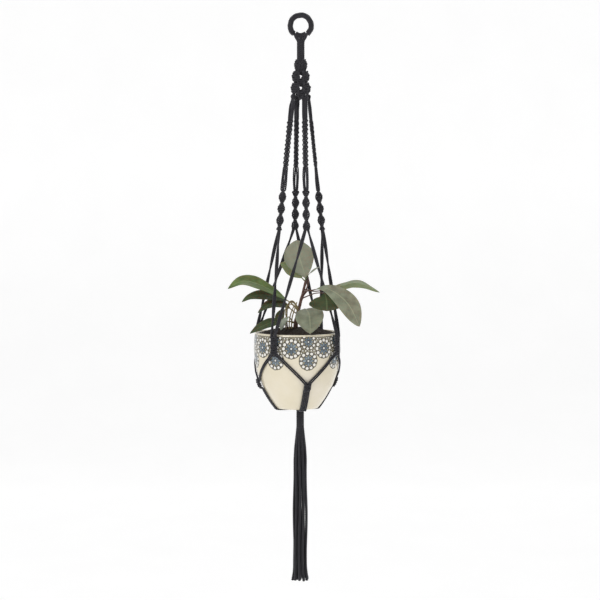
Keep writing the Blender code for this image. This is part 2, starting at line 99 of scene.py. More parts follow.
# ---- node helpers -------------------------------------------------------------------------------
class Nodes:
    def __init__(self, name):
        self.mat = bpy.data.materials.new(name)
        self.mat.use_nodes = True
        self.t = self.mat.node_tree
        self.bsdf = self.t.nodes["Principled BSDF"]

    def new(self, kind, **props):
        n = self.t.nodes.new(kind)
        for k, v in props.items():
            setattr(n, k, v)
        return n

    def link(self, a, b):
        self.t.links.new(a, b)

    def math(self, op, a, b=None, c=None):
        n = self.new("ShaderNodeMath", operation=op)
        for i, v in enumerate((a, b, c)):
            if v is None:
                continue
            if isinstance(v, (int, float)):
                n.inputs[i].default_value = v
            else:
                self.link(v, n.inputs[i])
        return n.outputs[0]

    def noise(self, vector, scale, detail=3.0, rough=0.55):
        n = self.new("ShaderNodeTexNoise")
        n.inputs["Scale"].default_value = scale
        n.inputs["Detail"].default_value = detail
        n.inputs["Roughness"].default_value = rough
        if vector is not None:
            self.link(vector, n.inputs["Vector"])
        return n.outputs["Fac"]

    def ramp(self, fac, stops):
        n = self.new("ShaderNodeValToRGB")
        e = n.color_ramp.elements
        while len(e) < len(stops):
            e.new(0.5)
        for el, (p, c) in zip(e, stops):
            el.position = p
            el.color = (*c, 1.0)
        self.link(fac, n.inputs["Fac"])
        return n.outputs["Color"]

    def mix(self, fac, a, b, blend="MIX"):
        n = self.new("ShaderNodeMix", data_type="RGBA", blend_type=blend)
        for sock, v in ((n.inputs[0], fac), (n.inputs[6], a), (n.inputs[7], b)):
            if isinstance(v, (int, float)):
                sock.default_value = v
            elif isinstance(v, tuple):
                sock.default_value = (*v, 1.0)
            else:
                self.link(v, sock)
        return n.outputs[2]

    def bump(self, height, strength, distance):
        n = self.new("ShaderNodeBump")
        n.inputs["Strength"].default_value = strength
        n.inputs["Distance"].default_value = distance
        self.link(height, n.inputs["Height"])
        self.link(n.outputs["Normal"], self.bsdf.inputs["Normal"])

    def smooth(self, x, a, b):
        n = self.new("ShaderNodeMapRange", interpolation_type="SMOOTHSTEP")
        self.link(x, n.inputs["Value"])
        n.inputs["From Min"].default_value = a
        n.inputs["From Max"].default_value = b
        return n.outputs["Result"]

    def attr(self, name):
        n = self.new("ShaderNodeAttribute", attribute_name=name)
        return n.outputs["Fac"]


def cord_material(name, dark, light, fuzz=0.35):
    m = Nodes(name)
    uv = m.new("ShaderNodeUVMap", uv_map="strand").outputs["UV"]
    xyz = m.new("ShaderNodeSeparateXYZ")
    m.link(uv, xyz.inputs[0])
    # painted shade: the three ply grooves are painted darker and the ply crests lighter, in step with the tube's three
    # lobes; this feeds the colour ramp below
    ply_groove_shade = m.math("COSINE", m.math("MULTIPLY", xyz.outputs["X"], math.tau * 3))
    ply_groove_shade = m.math("MULTIPLY_ADD", ply_groove_shade, 0.5, 0.5)
    fib = m.new("ShaderNodeMapping")
    fib.inputs["Scale"].default_value = (26.0, 2.2, 1.0)
    fib.inputs["Rotation"].default_value = (0, 0, 0.06)
    m.link(uv, fib.inputs["Vector"])
    fibre = m.noise(fib.outputs["Vector"], 1.0, 4.0, 0.65)
    coord = m.new("ShaderNodeTexCoord").outputs["Object"]
    patch = m.noise(coord, 90.0, 3.0)
    fuzzy = m.noise(coord, 2600.0, 2.0)
    tone = m.math("MULTIPLY_ADD", fibre, 0.55, m.math("MULTIPLY", ply_groove_shade, 0.3))
    tone = m.math("ADD", tone, m.math("MULTIPLY_ADD", patch, 0.3, -0.22))
    colour = m.ramp(tone, [(0.12, dark), (0.5, tuple((a + b) / 2 for a, b in zip(dark, light))), (0.85, light)])
    m.link(colour, m.bsdf.inputs["Base Color"])
    rough = m.math("MULTIPLY_ADD", fibre, 0.25, 0.68)
    m.link(rough, m.bsdf.inputs["Roughness"])
    m.bsdf.inputs["Sheen Weight"].default_value = fuzz
    m.bsdf.inputs["Sheen Roughness"].default_value = 0.45
    m.bsdf.inputs["Sheen Tint"].default_value = (0.75, 0.76, 0.82, 1)
    m.bsdf.inputs["Specular IOR Level"].default_value = 0.3
    h = m.math("ADD", m.math("MULTIPLY", fibre, 0.7), m.math("MULTIPLY", fuzzy, 0.3))
    m.bump(h, 0.55, 0.0004)
    return m.mat


CORD = cord_material("black_cotton_cord", (0.011, 0.0105, 0.0125), (0.066, 0.063, 0.074))


# ---- strands ---------------------------------------------------------------------------------------
def smooth_path(points, steps=6):
    p = np.asarray(points, float)
    p = np.vstack([2 * p[0] - p[1], p, 2 * p[-1] - p[-2]])
    t = (np.arange(steps) / steps)[:, None]
    out = []
    for i in range(1, len(p) - 2):
        a, b, c, d = p[i - 1], p[i], p[i + 1], p[i + 2]
        out.append(0.5 * (2 * b + (c - a) * t + (2 * a - 5 * b + 4 * c - d) * t**2 + (3 * b - a - 3 * c + d) * t**3))
    out.append(p[-2][None])
    return np.vstack(out)


def resample(path, step):
    path = np.asarray(path, float)
    d = np.r_[0, np.cumsum(np.linalg.norm(np.diff(path, axis=0), axis=1))]
    keep = np.r_[True, np.diff(d) > 1e-9]
    path, d = path[keep], d[keep]
    n = max(int(round(d[-1] / step)), 2)
    s = np.linspace(0, d[-1], n + 1)
    return np.column_stack([np.interp(s, d, path[:, i]) for i in range(3)]), s


def tube(path, radius, step=None, sides=12, pitch=11.0, lobes=0.11, phase=None, start=None):
    """Mesh data of one three-ply cord along a path in mm. radius may vary along it."""
    step = step or 1.5
    p, s = resample(path, step)
    r = np.interp(np.linspace(0, 1, len(p)), np.linspace(0, 1, np.size(radius)), np.atleast_1d(radius).astype(float)) if np.size(radius) > 1 else np.full(len(p), float(radius))
    t = np.gradient(p, axis=0)
    t /= np.linalg.norm(t, axis=1)[:, None] + 1e-12
    ref = np.array((0.31, 0.2, 0.93)) if start is None else np.asarray(start, float)
    u = ref - t[0] * (ref @ t[0])
    if np.linalg.norm(u) < 1e-3:
        u = np.cross(t[0], (1, 0, 0))
    u /= np.linalg.norm(u)
    us = [u]
    for i in range(1, len(p)):
        u = us[-1] - t[i] * (us[-1] @ t[i])
        us.append(u / (np.linalg.norm(u) + 1e-12))
    us = np.array(us)
    vs = np.cross(t, us)
    ph = rng.uniform(0, math.tau) if phase is None else phase
    twist = ph + math.tau * s / pitch
    k = math.tau * np.arange(sides) / sides
    ang = twist[:, None] + k[None, :]
    rad = r[:, None] * (1 - lobes + lobes * np.cos(3 * k))[None, :]
    ring = p[:, None, :] + rad[..., None] * (np.cos(ang)[..., None] * us[:, None, :] + np.sin(ang)[..., None] * vs[:, None, :])
    tip0 = p[0] - t[0] * r[0] * 0.35
    tip1 = p[-1] + t[-1] * r[-1] * 0.35
    n = len(p)
    verts = np.vstack([ring.reshape(-1, 3), tip0, tip1])
    i = np.arange(n - 1)[:, None] * sides
    a = np.arange(sides)[None, :]
    b = (a + 1) % sides
    quads = np.stack([i + a, i + b, i + sides + b, i + sides + a], -1).reshape(-1, 4)
    uq = np.stack([
        np.stack([np.broadcast_to(a / sides, (n - 1, sides)), np.broadcast_to(s[:-1, None] / pitch, (n - 1, sides))], -1),
        np.stack([np.broadcast_to((a + 1) / sides, (n - 1, sides)), np.broadcast_to(s[:-1, None] / pitch, (n - 1, sides))], -1),
        np.stack([np.broadcast_to((a + 1) / sides, (n - 1, sides)), np.broadcast_to(s[1:, None] / pitch, (n - 1, sides))], -1),
        np.stack([np.broadcast_to(a / sides, (n - 1, sides)), np.broadcast_to(s[1:, None] / pitch, (n - 1, sides))], -1),
    ], 2).reshape(-1, 2)
    a = a.ravel(); b = b.ravel()
    c0 = np.stack([b, a, np.full(sides, n * sides)], -1)
    e = (n - 1) * sides
    c1 = np.stack([e + a, e + b, np.full(sides, n * sides + 1)], -1)
    ut = np.tile(np.array([[0.0, 0.0], [0.1, 0.0], [0.05, 0.1]]), (2 * sides, 1))
    return verts, quads, np.vstack([c0, c1]), uq, ut


def mesh_piece(name, parts, mat, body, replaces=(), blend=None):
    """One object from many tubes, in mm."""
    vs, faces, uvs, base = [], [], [], 0
    for v, q, tr, uq, ut in parts:
        vs.append(v * MM)
        faces += (q + base).tolist()
        uvs.append(uq)
        base += len(v)
    base = 0
    for v, q, tr, uq, ut in parts:
        faces += (tr + base).tolist()
        uvs.append(ut)
        base += len(v)
    me = bpy.data.meshes.new(name)
    me.from_pydata(np.vstack(vs).tolist(), [], faces)
    uv = me.uv_layers.new(name="strand")
    uv.data.foreach_set("uv", np.vstack(uvs).astype(np.float32).ravel())
    me.materials.append(mat)
    me.shade_smooth()
    ob = bpy.data.objects.new(name, me)
    bpy.context.scene.collection.objects.link(ob)
    if blend:
        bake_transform(ob)
    else:
        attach(ob, body)
    if replaces:
        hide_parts(*replaces)
    return ob


def step_turn(s, h, sharp=0.62):
    """Half-knot counter against length: crosses quickly, then runs down at the side."""
    k = np.floor(s / h)
    f = s / h - k
    g = np.clip((f - (1 - sharp) / 2) / sharp, 0, 1)
    return k + g * g * (3 - 2 * g)


def smoothstep(x, a, b):
    t = np.clip((x - a) / (b - a), 0, 1)
    return t * t * (3 - 2 * t)


def square_xy(s, h, w, d, which):
    t = step_turn(s, h)
    c, q = np.cos(np.pi * t), np.abs(np.sin(np.pi * t)) ** 0.75
    return (-w * c, -d * q + 0.5) if which == 0 else (w * c, d * q - 0.5)


def spiral_xy(s, h, w, d, which, rate):
    t = step_turn(s, h)
    x, y = -w * np.cos(np.pi * t), -d * np.sin(np.pi * t)
    if which:
        x, y = -x, -y
    f = np.radians(rate) * t
    return x * np.cos(f) - y * np.sin(f), x * np.sin(f) + y * np.cos(f)


# ---- ring: cord wrapped round and round the core ----------------------------------------------------
turns = 46
q = np.linspace(0, 1, turns * 14)
phi = np.radians(42 + (360 - 84) * q)
th = math.tau * turns * q
wob = 0.22 * np.sin(phi * 5 + 0.7) + 0.15 * np.sin(phi * 11)
out = np.column_stack([np.sin(phi), np.zeros_like(phi), -np.cos(phi)])
wrap = np.array((0, 0, RING_Z)) + out * (RING_MAJOR + wob + 4.05 * np.cos(th))[:, None]
wrap[:, 1] = 4.05 * np.sin(th)
mesh_piece("ring_wrapping", [tube(wrap, 1.38, 1.3, 8, 6.0, 0.08)], CORD, "ring", ["ring_wrap"])

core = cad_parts["ring_core"]
mc = Nodes("ring_core_metal")
n = mc.noise(mc.new("ShaderNodeTexCoord").outputs["Object"], 300.0, 4.0)
mc.link(mc.ramp(n, [(0.3, (0.02, 0.02, 0.02)), (0.7, (0.06, 0.06, 0.065))]), mc.bsdf.inputs["Base Color"])
mc.link(mc.math("MULTIPLY_ADD", n, 0.3, 0.3), mc.bsdf.inputs["Roughness"])
mc.bsdf.inputs["Metallic"].default_value = 0.7
mc.bump(n, 0.2, 0.0002)
core.data.materials.clear()
core.data.materials.append(mc.mat)

# ---- loops over the ring's bottom, then the neck -----------------------------------------------------
NECK_RING, NECK_CORD = 5.7, 1.45
parts = []
for i in range(8):
    ph = math.radians(-29 + 58 * i / 7)
    e = 1.9 * (abs(i - 3.5) / 3.5) ** 2
    o = np.array((math.sin(ph), 0, -math.cos(ph)))
    c = np.array((0, 0, RING_Z)) + o * RING_MAJOR
    grow = 4.5 + 1.3 * abs(i - 3.5) / 3.5
    ny = NECK_RING * math.cos(math.radians(-78.75 + 22.5 * i))
    nx = NECK_RING * math.sin(math.radians(-78.75 + 22.5 * i))
    Y = np.array((0, 1.0, 0))
    pts = [(nx, -ny, -47.5), (nx, -ny, -44.0), (nx * 1.15, -ny * 1.08 - 0.3, -41.3), c + o * 2.7 - Y * (4.3 + e), c - Y * (grow + e * 0.6), c - o * 3.5 - Y * (3.3 + e), c - o * (4.8 + 0.3 * e),
           c - o * 3.5 + Y * (3.3 + e), c + Y * (grow + e * 0.6), c + o * 2.7 + Y * (4.3 + e), (nx * 1.15, ny * 1.08 + 0.3, -41.3), (nx, ny, -44.0), (nx, ny, -47.5)]
    parts.append(tube(smooth_path(pts, 8), 1.62 if 0 < i < 7 else 1.55, 1.2, 12))
parts.append(tube([(0, 0, -37.6), (0, 0, -47.0)], 3.4, 1.5, 12, 30))
mesh_piece("ring_loop_cords", parts, CORD, "loops", ["ring_loops"])

parts = []
for k in range(16):
    a = math.radians(11.25 + 22.5 * k)
    x, y = NECK_RING * math.sin(a), -NECK_RING * math.cos(a)
    pts = [(x, y, -44), (x * 1.02, y * 1.02, -54), (x * 1.02, y * 1.02, -66), (x, y, -79)]
    parts.append(tube(smooth_path(pts, 4), NECK_CORD, 1.6, 12))
parts.append(tube([(0, 0, -43), (0, 0, -80)], 4.4, 2.0, 12, 40))
mesh_piece("neck_bundle", parts, CORD, "hanger", ["neck_cords"], blend=("loops", "hanger", (0, 0, -0.0446), (0, 0, -0.070)))


# ---- crown: alternating square knots ---------------------------------------------------------------
def knot_loops(centre, side, outw, up, w, d, h, halves, r, belly=0.0):
    """The two working cords of a flat knot, crossing in front and behind, fuller in the middle by belly."""
    s = np.linspace(-0.15 * h, (halves + 0.15) * h, int(halves * 26))
    full = np.sin(np.pi * np.clip(s / (halves * h), 0.02, 0.98)) ** 0.8
    res = []
    for which in (0, 1):
        x, y = square_xy(s, h, 1.0, 1.0, which)
        x = x * w * (1 - belly + belly * full)
        y = y * d * (1 - 0.4 * belly + 0.4 * belly * full) - (full - 0.6) * 2.2 * (belly > 0)
        res.append(tube(centre + np.outer(x, side) - np.outer(y, outw) + np.outer(halves * h / 2 - s, up), r, 1.25, 8, 9.0))
    return res


def leg_shift(s_):
    """How far a leg stands off its straight line near the crown, sideways and outwards."""
    k_ = np.clip(1 - np.asarray(s_, float) / 215.0, 0, 1)
    return 3.1 * k_, 1.6 * k_


# azimuth of one knot in the row, height, radius, half width, half knots
ROWS = [(-42.0, -85.8, 7.2, 6.0, 5), (3.0, -96.6, 6.6, 4.6, 4), (-42.0, -106.9, 11.6, 7.7, 5),
        (3.0, -117.6, 9.0, 5.8, 4), (-41.0, -128.3, 13.4, 8.8, 5), (6.0, -138.6, 11.8, 6.4, 4)]
parts = []
for c in range(4):
    for j in range(4):
        az = 3 + 90 * c - 33.75 + 22.5 * j
        pts = [out_dir(az) * NECK_RING + np.array((0, 0, -72.0)), out_dir(az) * (NECK_RING + 0.2) + np.array((0, 0, -77.0))]
        for az0, z, R, w, halves in ROWS:
            d = math.degrees(2.2 / R)
            if az0 > 0:
                a = az0 + 90 * c + (j - 1.5) * d
            elif j >= 2:
                a = az0 + 90 + 90 * c + (j - 2 - 1.5) * d
            else:
                a = az0 + 90 * c + (j + 2 - 1.5) * d
            e = halves * 3.9 / 2 - 2.2
            pts += [out_dir(a) * R + np.array((0, 0, z + e)), out_dir(a) * R + np.array((0, 0, z - e))]
        a = 15 + 90 * c
        x, o = leg_shift(0)
        x = x + (j - 1.5) * 2.5
        pts.append(out_dir(a) * (LEG_TOP_R + o) + side_dir(a) * x + np.array((0, 0, LEG_TOP_Z - 3.0)))
        parts.append(tube(smooth_path(pts, 6), 1.55, 2.0, 9))
for az0, z, R, w, halves in ROWS:
    for c in range(4):
        a = az0 + 90 * c
        d = 3.0 if az0 < 0 else 2.5
        parts += knot_loops(out_dir(a) * (R + 0.3) + np.array((0, 0, z)), side_dir(a), out_dir(a), np.array((0, 0, 1.0)), w, d, 3.8, halves, 1.66, 0.42)
for c in range(4):
    a = 15 + 90 * c
    x, o = leg_shift(0)
    parts += knot_loops(out_dir(a) * (LEG_TOP_R + o + 0.4) + side_dir(a) * x + np.array((0, 0, -143.6)), side_dir(a), out_dir(a), np.array((0, 0, 1.0)), 4.4, 2.9, 3.6, 2, 1.6)
mesh_piece("crown_net", parts, CORD, "hanger", ["crown_knots"])


# ---- legs ----------------------------------------------------------------------------------------------
def leg_frame(az):
    o = out_dir(az)
    top = o * LEG_TOP_R + np.array((0, 0, LEG_TOP_Z))
    end = o * LEG_END_R + np.array((0, 0, LEG_END_Z))
    up = (top - end) / np.linalg.norm(top - end)
    x = side_dir(az)
    return top, x, np.cross(up, x), up


def section_turn(side, s):
    """How far a leg's flat section is turned round its own axis, in radians."""
    join = smoothstep(s, 2.0, 22.0)
    if side == "left":
        return math.radians(62) * join
    if side == "back":
        return math.radians(-52) * join * (1 - smoothstep(s, S2 - 4, S2 + 14))
    if side == "right":
        return math.radians(14) * join
    return math.radians(-4) * join


def leg_cords(side, az, seed):
    top, X, Y, U = leg_frame(az)
    s = np.arange(-2.0, LEG_LEN + 1.5, 0.2)
    g = np.random.default_rng(seed)
    spread_up = [(-3.75, 0.0), (-1.25, 0.5), (1.25, -0.3), (3.75, 0.0)]
    spread_dn = [(-4.6, 0.0), (-1.6, 0.9), (1.6, -0.9), (4.6, 0.3)]
    h_sq, h_sp = 4.05, 3.95
    w_sq = smoothstep(s, S1 - 4, S1 + 1) * (1 - smoothstep(s, S2 - 1, S2 + 5))
    w_sp = smoothstep(s, S3 - 5, S3 + 1)
    mid = smoothstep(s, S2 - 8, S2 + 8)
    bow = np.sin(np.clip((s - S2) / (S3 - S2), 0, 1) * np.pi)
    out = []
    for j in range(4):
        up_xy, dn_xy = spread_up[j], spread_dn[j]
        wob = 0.35 * np.sin(s / 9.0 + g.uniform(0, 6.28))
        px = up_xy[0] * (1 - mid) + dn_xy[0] * mid * (0.72 + 0.28 * bow) + wob * (0.3 + 0.7 * mid)
        py = up_xy[1] * (1 - mid) + dn_xy[1] * mid + 0.3 * np.sin(s / 13.0 + g.uniform(0, 6.28))
        if j in (0, 3):
            kx, ky = square_xy(s - S1, h_sq, 3.85, 2.6, 0 if j == 0 else 1)
            kx = kx * (1 + 0.19 * np.sign(kx) * np.cos(np.pi * (s - S1) / h_sq))
            qx, qy = spiral_xy(s - S3, h_sp, 5.6, 2.0, 0 if j == 0 else 1, 33.0)
        else:
            kx, ky = np.full_like(s, -1.35 if j == 1 else 1.35), np.zeros_like(s)
            f = np.radians(33.0) * (s - S3) / h_sp
            e = -1.75 if j == 1 else 1.75
            qx, qy = e * np.cos(f), e * np.sin(f)
        plain = 1 - w_sq - w_sp
        fx, fy = px * plain + kx * w_sq, py * plain + ky * w_sq
        psi = section_turn(side, s)
        x = fx * np.cos(psi) - fy * np.sin(psi) + qx * w_sp
        y = fx * np.sin(psi) + fy * np.cos(psi) + qy * w_sp
        sx, sy = leg_shift(s)
        out.append(top + np.outer(x + sx, X) + np.outer(y - sy, Y) - np.outer(s, U))
    return out, s


for n_leg, (side, az) in enumerate(LEG_AZ.items()):
    paths, s = leg_cords(side, az, 20 + n_leg)
    thin = 1.7 - 0.28 * smoothstep(s, S1 - 3, S1 + 2) * (1 - smoothstep(s, S2 - 2, S2 + 3)) + 0.1 * smoothstep(s, S2 + 3, S2 + 10) - 0.03 * smoothstep(s, S3 - 2, S3 + 2)
    parts = [tube(p, thin, 1.2 if j in (0, 3) else 2.2, 9) for j, p in enumerate(paths)]
    top, _, _, U = leg_frame(az)
    sx, sy = leg_shift(s)
    X, Y = leg_frame(az)[1:3]
    axis = top + np.outer(sx, X) - np.outer(sy, Y) - np.outer(s, U)
    for lo, hi in ((S1 + 1, S2 - 1), (S3 + 1, LEG_LEN - 2)):
        keep = (s > lo) & (s < hi)
        parts.append(tube(axis[keep], 2.05, 3.0, 8, 30.0, 0.03))
    mesh_piece(f"leg_{side}", parts, CORD, "hanger", [f"leg_{side}_cords", f"leg_{side}_square_knots", f"leg_{side}_spiral_knots"])


# ---- the net round the pot --------------------------------------------------------------------------------
pot_centre = np.array((POT_X, 0.0, 0.0))
UP = np.array((0, 0, 1.0))


def knot_at(az, z, radius):
    return pot_centre + out_dir(az) * radius + UP * z


for n_k, (name, az) in enumerate(KNOT_AZ.items()):
    half = (KNOT_TOP - KNOT_BOTTOM) / 2
    centre = knot_at(az, (KNOT_TOP + KNOT_BOTTOM) / 2, KNOT_R - 0.2)
    parts = []
    s = np.arange(-3.0, 2 * half + 3.0, 0.2)
    h = 2 * half / 8
    for j in range(4):
        if j in (0, 3):
            x, y = square_xy(s, h, 5.3, 2.9, 0 if j == 0 else 1)
            w = smoothstep(s, -3, 1) * (1 - smoothstep(s, 2 * half - 1, 2 * half + 3))
            e = -1.5 if j == 0 else 1.5
            ends = np.where(s < half, 1.0, 1.0)
            x = x * w + e * 3.4 * (1 - w) * ends
            y = y * w
        else:
            x, y = np.full_like(s, -1.9 if j == 1 else 1.9), np.zeros_like(s)
        parts.append(tube(centre + np.outer(x, side_dir(az)) - np.outer(y, out_dir(az)) + np.outer(half - s, UP), 1.62, 0.95, 11))
    mesh_piece(f"net_knot_upper_{name}_cords", parts, CORD, "hanger", [f"net_knot_upper_{name}"])

for n_l, (side, az) in enumerate(LEG_AZ.items()):
    for towards, sign in zip(SIDES[side], (-1, 1)):
        kaz = KNOT_AZ[towards]
        a = out_dir(az) * (LEG_END_R - 0.5) + side_dir(az) * (sign * 1.4) + UP * (LEG_END_Z + 7.0)
        a2 = out_dir(az) * (LEG_END_R + 0.8) + side_dir(az) * (sign * 3.3) + UP * (LEG_END_Z - 4.0)
        b = knot_at(kaz, KNOT_TOP - 1.5, KNOT_R) - side_dir(kaz) * (sign * 3.5)
        b2 = b + UP * 5 + (a2 - b) / np.linalg.norm(a2 - b) * 2
        c = (a2 + b2) / 2 + UP * (-0.6)
        line = smooth_path([a, a2, c, b2, b], 24)
        line, d = resample(line, 1.0)
        t = np.gradient(line, axis=0); t /= np.linalg.norm(t, axis=1)[:, None]
        u = np.cross(t, out_dir(az)); u /= np.linalg.norm(u, axis=1)[:, None]
        v = np.cross(t, u)
        f = math.tau * d / 150.0 + n_l * 1.3 + sign
        r = 1.6
        off = u * np.cos(f)[:, None] + v * np.sin(f)[:, None]
        off = off * (0.35 + 0.65 * smoothstep(d, 0, 14))[:, None]
        parts = [tube(line + off * r, 2.0, 1.8, 10, 9.0, 0.08), tube(line - off * r, 2.0, 1.8, 10, 9.0, 0.08)]
        mesh_piece(f"branch_upper_{side}_{towards}", parts, CORD, "hanger", [f"branch_upper_{side}_to_{towards}"])

SLOPE = math.atan2(float(outline_radius(LOW_Z + 10) - outline_radius(LOW_Z - 10)), 20)
for side, az in LEG_AZ.items():
    for start, sign in zip(SIDES[side], (-1, 1)):
        kaz = KNOT_AZ[start]
        turn = (kaz - az + 180) % 360 - 180
        f = np.linspace(0, 1, 30)
        z0, z1 = KNOT_BOTTOM + 2.0, LOW_Z + 6.0
        z = z0 + (z1 - z0) * f
        a = (az + turn - sign * math.degrees(3.4 / KNOT_R)) * (1 - f) + (az + sign * math.degrees(3.6 / LOW_R)) * f
        R = outline_radius(z) + CORD_R + 0.55 + (KNOT_R - 81.9) * np.clip(1 - 5 * f, 0, 1) + 0.9 * np.clip(5 * f - 4, 0, 1)
        line = np.array([knot_at(x, y, w) for x, y, w in zip(a, z, R)])
        t = np.gradient(line, axis=0); t /= np.linalg.norm(t, axis=1)[:, None]
        nrm = np.array([out_dir(x) for x in a])
        u = np.cross(t, nrm); u /= np.linalg.norm(u, axis=1)[:, None]
        parts = [tube(line + u * 1.68, 1.62, 1.5, 12), tube(line - u * 1.68, 1.62, 1.5, 12)]
        mesh_piece(f"branch_lower_{start}_{side}", parts, CORD, "hanger", [f"branch_lower_{start}_to_{side}"])

    # lower knot: a square knot and a half, lying on the slope
    tilt = SLOPE
    o, sd = out_dir(az), side_dir(az)
    down = -UP * math.cos(tilt) - o * math.sin(tilt)
    face = o * math.cos(tilt) - UP * math.sin(tilt)
    centre = knot_at(az, LOW_Z, LOW_R)
    s = np.arange(-3.0, 15.0, 0.2)
    parts = []
    for j in range(4):
        if j in (0, 3):
            x, y = square_xy(s, 4.0, 5.4, 2.8, 0 if j == 0 else 1)
            w = smoothstep(s, -3, 1) * (1 - smoothstep(s, 11, 15))
            x = x * w + (-1 if j == 0 else 1) * 5.0 * (1 - w)
            y = y * w
        else:
            x, y = np.full_like(s, -1.8 if j == 1 else 1.8), np.zeros_like(s)
        parts.append(tube(centre + np.outer(x, sd) - np.outer(y, face) + np.outer(s - 6.0, down), 1.62, 0.95, 11))
    mesh_piece(f"net_knot_lower_{side}_cords", parts, CORD, "hanger", [f"net_knot_lower_{side}"])

# straps: four cords side by side under the pot
foot = RIM_Z - 140.0
gather = np.array((GATHER_X, 0.0, 0.0))
for n_l, (side, az) in enumerate(LEG_AZ.items()):
    parts = []
    edge = pot_centre + out_dir(az) * 38.7
    for j in range(4):
        off = (j - 1.5) * 3.35
        pts = [knot_at(az, LOW_Z - 4.0, LOW_R - 1.5) + side_dir(az) * off]
        for z in np.linspace(LOW_Z - 9.0, foot + 1.5, 8):
            pts.append(knot_at(az, z, float(outline_radius(z)) + CORD_R * 1.25 + 0.5) + side_dir(az) * off)
        pts.append(edge + out_dir(az) * 1.0 + side_dir(az) * off + UP * (foot - 1.6))
        inward = (gather - edge) / np.linalg.norm(gather - edge)
        for q_ in (0.25, 0.6):
            pts.append(edge * (1 - q_) + gather * q_ + side_dir(az) * off * (1 - 0.25 * q_) + UP * (foot - 2.3))
        ang = math.radians(az) + math.radians((j - 1.5) * 22.5)
        tgt = gather + np.array((math.sin(ang), -math.cos(ang), 0)) * 5.6
        pts.append(tgt + (tgt - gather) * 0.35 + UP * (foot - 3.0))
        pts.append(tgt + UP * (foot - 6.5))
        pts.append(tgt + UP * (foot - 13.0))
        parts.append(tube(smooth_path(pts, 6), 1.66, 1.4, 12))
    mesh_piece(f"strap_{side}_cords", parts, CORD, "hanger", [f"strap_{side}"])

parts = []
for k in range(16):
    a = math.radians(15 + (k - 1.5) * 22.5)
    w = 5.6
    pts = [gather + np.array((w * math.sin(a), -w * math.cos(a), z)) for z in (foot - 9, -735, -748, -757)]
    parts.append(tube(smooth_path(pts, 4), 1.68, 1.5, 12))
parts.append(tube([gather + UP * (foot - 4), gather + UP * -757], 4.6, 2.0, 12, 40))
mesh_piece("gather_bundle", parts, CORD, "hanger", ["gather_knot"])

# ---- tail: sixteen free ends --------------------------------------------------------------------------------
tail_rep = ["tail_fringe"]
n_out = n_in = 0
for k in range(16):
    g = np.random.default_rng(100 + k)
    a0 = math.radians(15 + (k - 1.5) * 22.5)
    if k % 8 in (1, 4, 6):
        target, inner = math.radians(5 + 60 * n_in), 0.46
        n_in += 1
    else:
        target, inner = math.radians(-6 + 36 * n_out), 1.0
        n_out += 1
    target = a0 + ((target - a0 + math.pi) % math.tau - math.pi)
    end = -1040.0 + g.uniform(1.0, 3.2)
    z = np.linspace(-752.0, end, 60)
    f = (z + 752.0) / (end + 752.0)
    R = np.interp(-z, [752, 768, 790, 815, 900, 985, 1015, 1030, 1040], [5.7, 7.2, 9.4, 10.9, 11.5, 11.4, 11.7, 13.0, 14.2])
    R = R * (1 - (1 - inner) * smoothstep(f, 0.03, 0.16))
    wob = smoothstep(f, 0.06, 0.3)
    a = a0 + (target - a0) * smoothstep(f, 0.02, 0.2) + wob * 0.10 * np.sin(f * 9 + g.uniform(0, 6.28))
    R = R + wob * 0.6 * np.sin(f * 12 + g.uniform(0, 6.28))
    path = np.column_stack([GATHER_X + R * np.sin(a), -R * np.cos(a), z])
    line, d = resample(path, 3.0)
    rad = np.interp(np.linspace(0, 1, 80), [0, 0.08, 0.2, 0.965, 0.985, 1.0], [1.68, 2.0, 2.5, 2.55, 3.05, 2.9])
    ob = mesh_piece(f"tail_cord_{k + 1}", [tube(path, rad, 2.0, 12, 13.0, 0.13)], CORD, "tail", tail_rep,
                    blend=("hanger", "tail", (GATHER_X * MM, 0, -0.753), (GATHER_X * MM, 0, -0.775)))


# ---- pot: turned clay with a raised lace-flower band ----------------------------------------------------------
def grid_piece(name, verts, nu, nv, wrap_u, mat, attrs=None):
    idx = np.arange(nu * nv).reshape(nv, nu)
    a = idx[:-1]
    b = idx[1:]
    if wrap_u:
        q = np.stack([a, np.roll(a, -1, 1), np.roll(b, -1, 1), b], -1)
    else:
        q = np.stack([a[:, :-1], a[:, 1:], b[:, 1:], b[:, :-1]], -1)
    me = bpy.data.meshes.new(name)
    me.from_pydata((verts * MM).tolist(), [], q.reshape(-1, 4).tolist())
    for k, v in (attrs or {}).items():
        at = me.attributes.new(k, "FLOAT", "POINT")
        at.data.foreach_set("value", np.asarray(v, np.float32).ravel())
    me.materials.append(mat)
    me.shade_smooth()
    ob = bpy.data.objects.new(name, me)
    bpy.context.scene.collection.objects.link(ob)
    return ob


BAND_R = 79.5
FLOWERS = [(15.0, 12.0, 9.2, 11), (-7.5, 24.5, 11.2, 12), (15.0, 46.5, 10.6, 11)]


def lace_height(az, depth):
    """Relief of the flowers and beads at an azimuth in degrees and a depth below the rim in mm, 0 to 1."""
    high = np.zeros_like(az)
    for caz, cd, rb, nb in FLOWERS:
        du = ((az - caz + 22.5) % 45.0 - 22.5) * math.pi / 180 * BAND_R
        dv = depth - cd
        rho, ang = np.hypot(du, dv), np.arctan2(dv, du)
        high = np.maximum(high, 0.6 * np.clip(((rb * (0.86 + 0.2 * np.cos(8 * ang))) - rho) / 1.5, 0, 1))
        sector = (ang + math.pi / nb) % (math.tau / nb) - math.pi / nb
        dd = np.hypot(rho * np.cos(sector) - 1.30 * rb, rho * np.sin(sector))
        high = np.maximum(high, np.sqrt(np.clip(1 - (dd / (0.31 * rb)) ** 2, 0, 1)))
    return high


